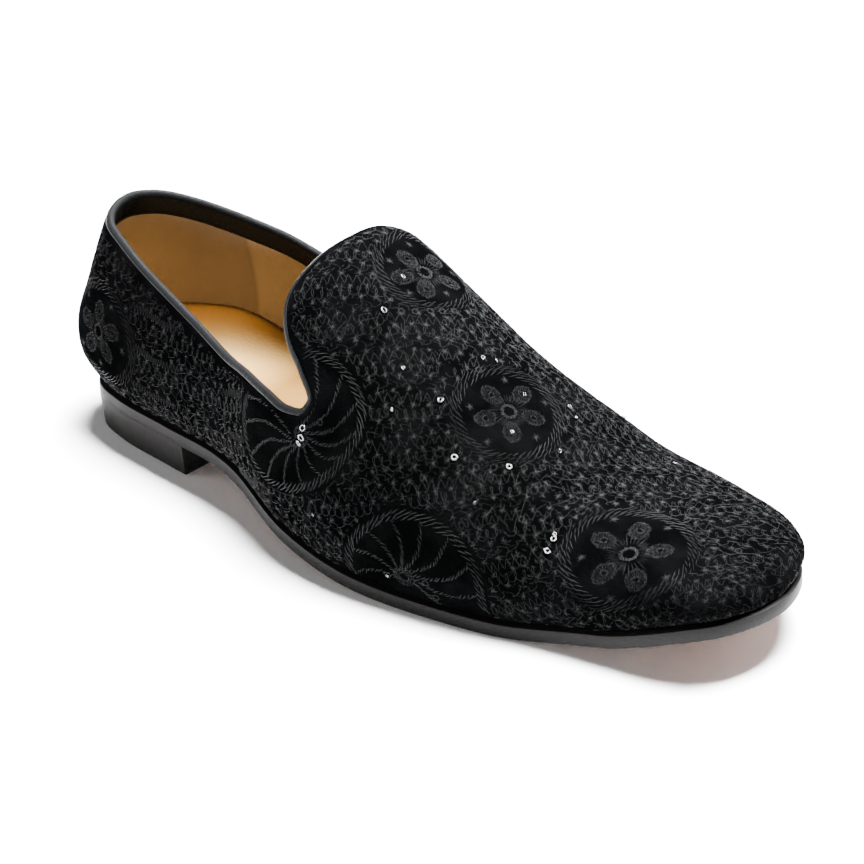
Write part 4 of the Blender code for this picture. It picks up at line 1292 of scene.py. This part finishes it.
# Sock
foot = inside[:, 0]
rim = bed_value("rim", foot[:, 0]) * BED_RIM
bed = bed_value("bed", foot[:, 0]) * BED_THICKNESS
layers = []
for rise in (0.0, 0.5, 1.0):
    ring = up_the_wall(inside, rim * rise)
    layers.append(np.column_stack([drawn_in_outline(ring[:, :2], GAP), ring[:, 2]]))
for inward, curl in CUP_CURVE:
    height = foot[:, 2] + bed + (rim - bed) * curl
    layers.append(np.column_stack([drawn_in_outline(layers[2][:, :2], CUP_WIDTH * inward), height]))
sock = placed("sock", plate("sock", layers), SOCK, "insole")
# Painted light: the sock is lighter at its shaded back and darker towards its lit front.
number_points(sock.data, "tone_and_painted_light", ramp(np.concatenate(layers)[:, 0], *SOCK_PAINTED_LIGHT))

# Sole and heel
bevel = SOLE_EDGE_BEVEL
soft = bevel * EDGE_ROUNDING
drawn_in, softer = sole_outline(bevel), sole_outline(soft)
soled("leather_outsole", plate("leather_outsole", [
    flat_layer(drawn_in, underside), flat_layer(softer, lambda u: underside(u) + soft),
    flat_layer(outline, lambda u: underside(u) + bevel), flat_layer(outline, lambda u: sole_top(u) - bevel),
    flat_layer(softer, lambda u: sole_top(u) - soft), flat_layer(drawn_in, sole_top)]), "outsole")
u = BREAST_AT * np.linspace(0, 1, HEEL_POINTS) ** 2
layers = []
for height, inset in ((0.0, HEEL_TAPER + bevel), (bevel, HEEL_TAPER), (HEEL_HEIGHT, 0.0),
                      (HEEL_HEIGHT + bevel * HEEL_OVERLAP, 0.0)):
    x = inset + u * SHOE_LENGTH * (1 - inset / HEEL_LENGTH)
    z = np.full_like(u, height)
    outer, inner = (np.column_stack([x, crest(u) + side * np.maximum(sole_half_width(u, side) - inset, 0), z])
                    for side in (OUTER, INNER))
    layers.append(np.concatenate([outer, inner[:0:-1]]))
soled("heel_block", block_of("heel_block", layers), "heel")

# Embroidery and sequins
cloth = Cloth(grid, normals)
motifs = Threads()
for m in MEDALLIONS:
    medallion(motifs, m)
for w in WHEELS:
    wheel(motifs, w, OUTER)
    wheel(motifs, w, INNER)
for spot in FLOWERS:
    round_flower(motifs, *spot)
thread_object("embroidered_motifs", motifs)
for zone in ZONES:
    threads = Threads()
    fill_rows(threads, zone)
    scattered(threads, zone)
    thread_object(zone.name, threads)
sequin_object("sequins")

# Floor and light
FLOOR_REACH = 4.0
WORLD_STRENGTH = 0.22
LAMPS = (                  # name, size, power, place and aim
    ("overhead", (1.0, 0.8), 980, (0.03, 0.44, 1.6), (0, 0, 0.05)),
    ("behind", (1.2, 0.6), 15, (0.3, 1.4, 0.7), (0.05, 0, 0.05)),
    ("low_left", (0.8, 0.1), 54, (-1.25, -0.95, 0.06), (0, 0, 0.05)),
    ("low_front", (0.8, 0.1), 30, (0.9, -1.4, 0.06), (0, 0, 0.05)),
)
corners = np.array([(-1, -1, 0), (1, -1, 0), (1, 1, 0), (-1, 1, 0)]) * FLOOR_REACH
mesh = new_mesh("floor", corners, [(0, 1, 2, 3)])
mesh.materials.append(FLOOR)
floor = linked("floor", mesh)
world = bpy.data.worlds.new("studio")
world.use_nodes = True
world.node_tree.nodes["Background"].inputs["Color"].default_value = (1.0, 1.0, 1.0, 1)
world.node_tree.nodes["Background"].inputs["Strength"].default_value = WORLD_STRENGTH
bpy.context.scene.world = world
for name, size, energy, place, aim in LAMPS:
    light = bpy.data.lights.new(name, "AREA")
    light.shape = "RECTANGLE"
    light.size, light.size_y = size
    light.energy = energy
    item = linked(name, light)
    item.location = place
    item.rotation_euler = (Vector(aim) - Vector(place)).to_track_quat("-Z", "Y").to_euler()

# Camera
CAMERA_TURN, CAMERA_RISE, CAMERA_ROLL = np.radians(43.44), np.radians(27.91), np.radians(-2.28)
CAMERA_FAR, CAMERA_LENS, CAMERA_SENSOR = 1.6296, 203.49, 36.0
AIM = Vector((0.1504, -0.0003, 0.0345)) + SHIFT
back = Vector((np.sin(CAMERA_TURN) * np.cos(CAMERA_RISE), -np.cos(CAMERA_TURN) * np.cos(CAMERA_RISE),
               np.sin(CAMERA_RISE)))
level = Vector((np.cos(CAMERA_TURN), np.sin(CAMERA_TURN), 0))
upright = back.cross(level)
right = level * np.cos(CAMERA_ROLL) + upright * np.sin(CAMERA_ROLL)
above = upright * np.cos(CAMERA_ROLL) - level * np.sin(CAMERA_ROLL)
view = bpy.data.cameras.new("camera")
view.lens, view.sensor_width = CAMERA_LENS, CAMERA_SENSOR
camera = linked("camera", view)
camera.matrix_world = Matrix((right, above, back)).transposed().to_4x4()
camera.location = AIM + back * CAMERA_FAR
bpy.context.scene.camera = camera
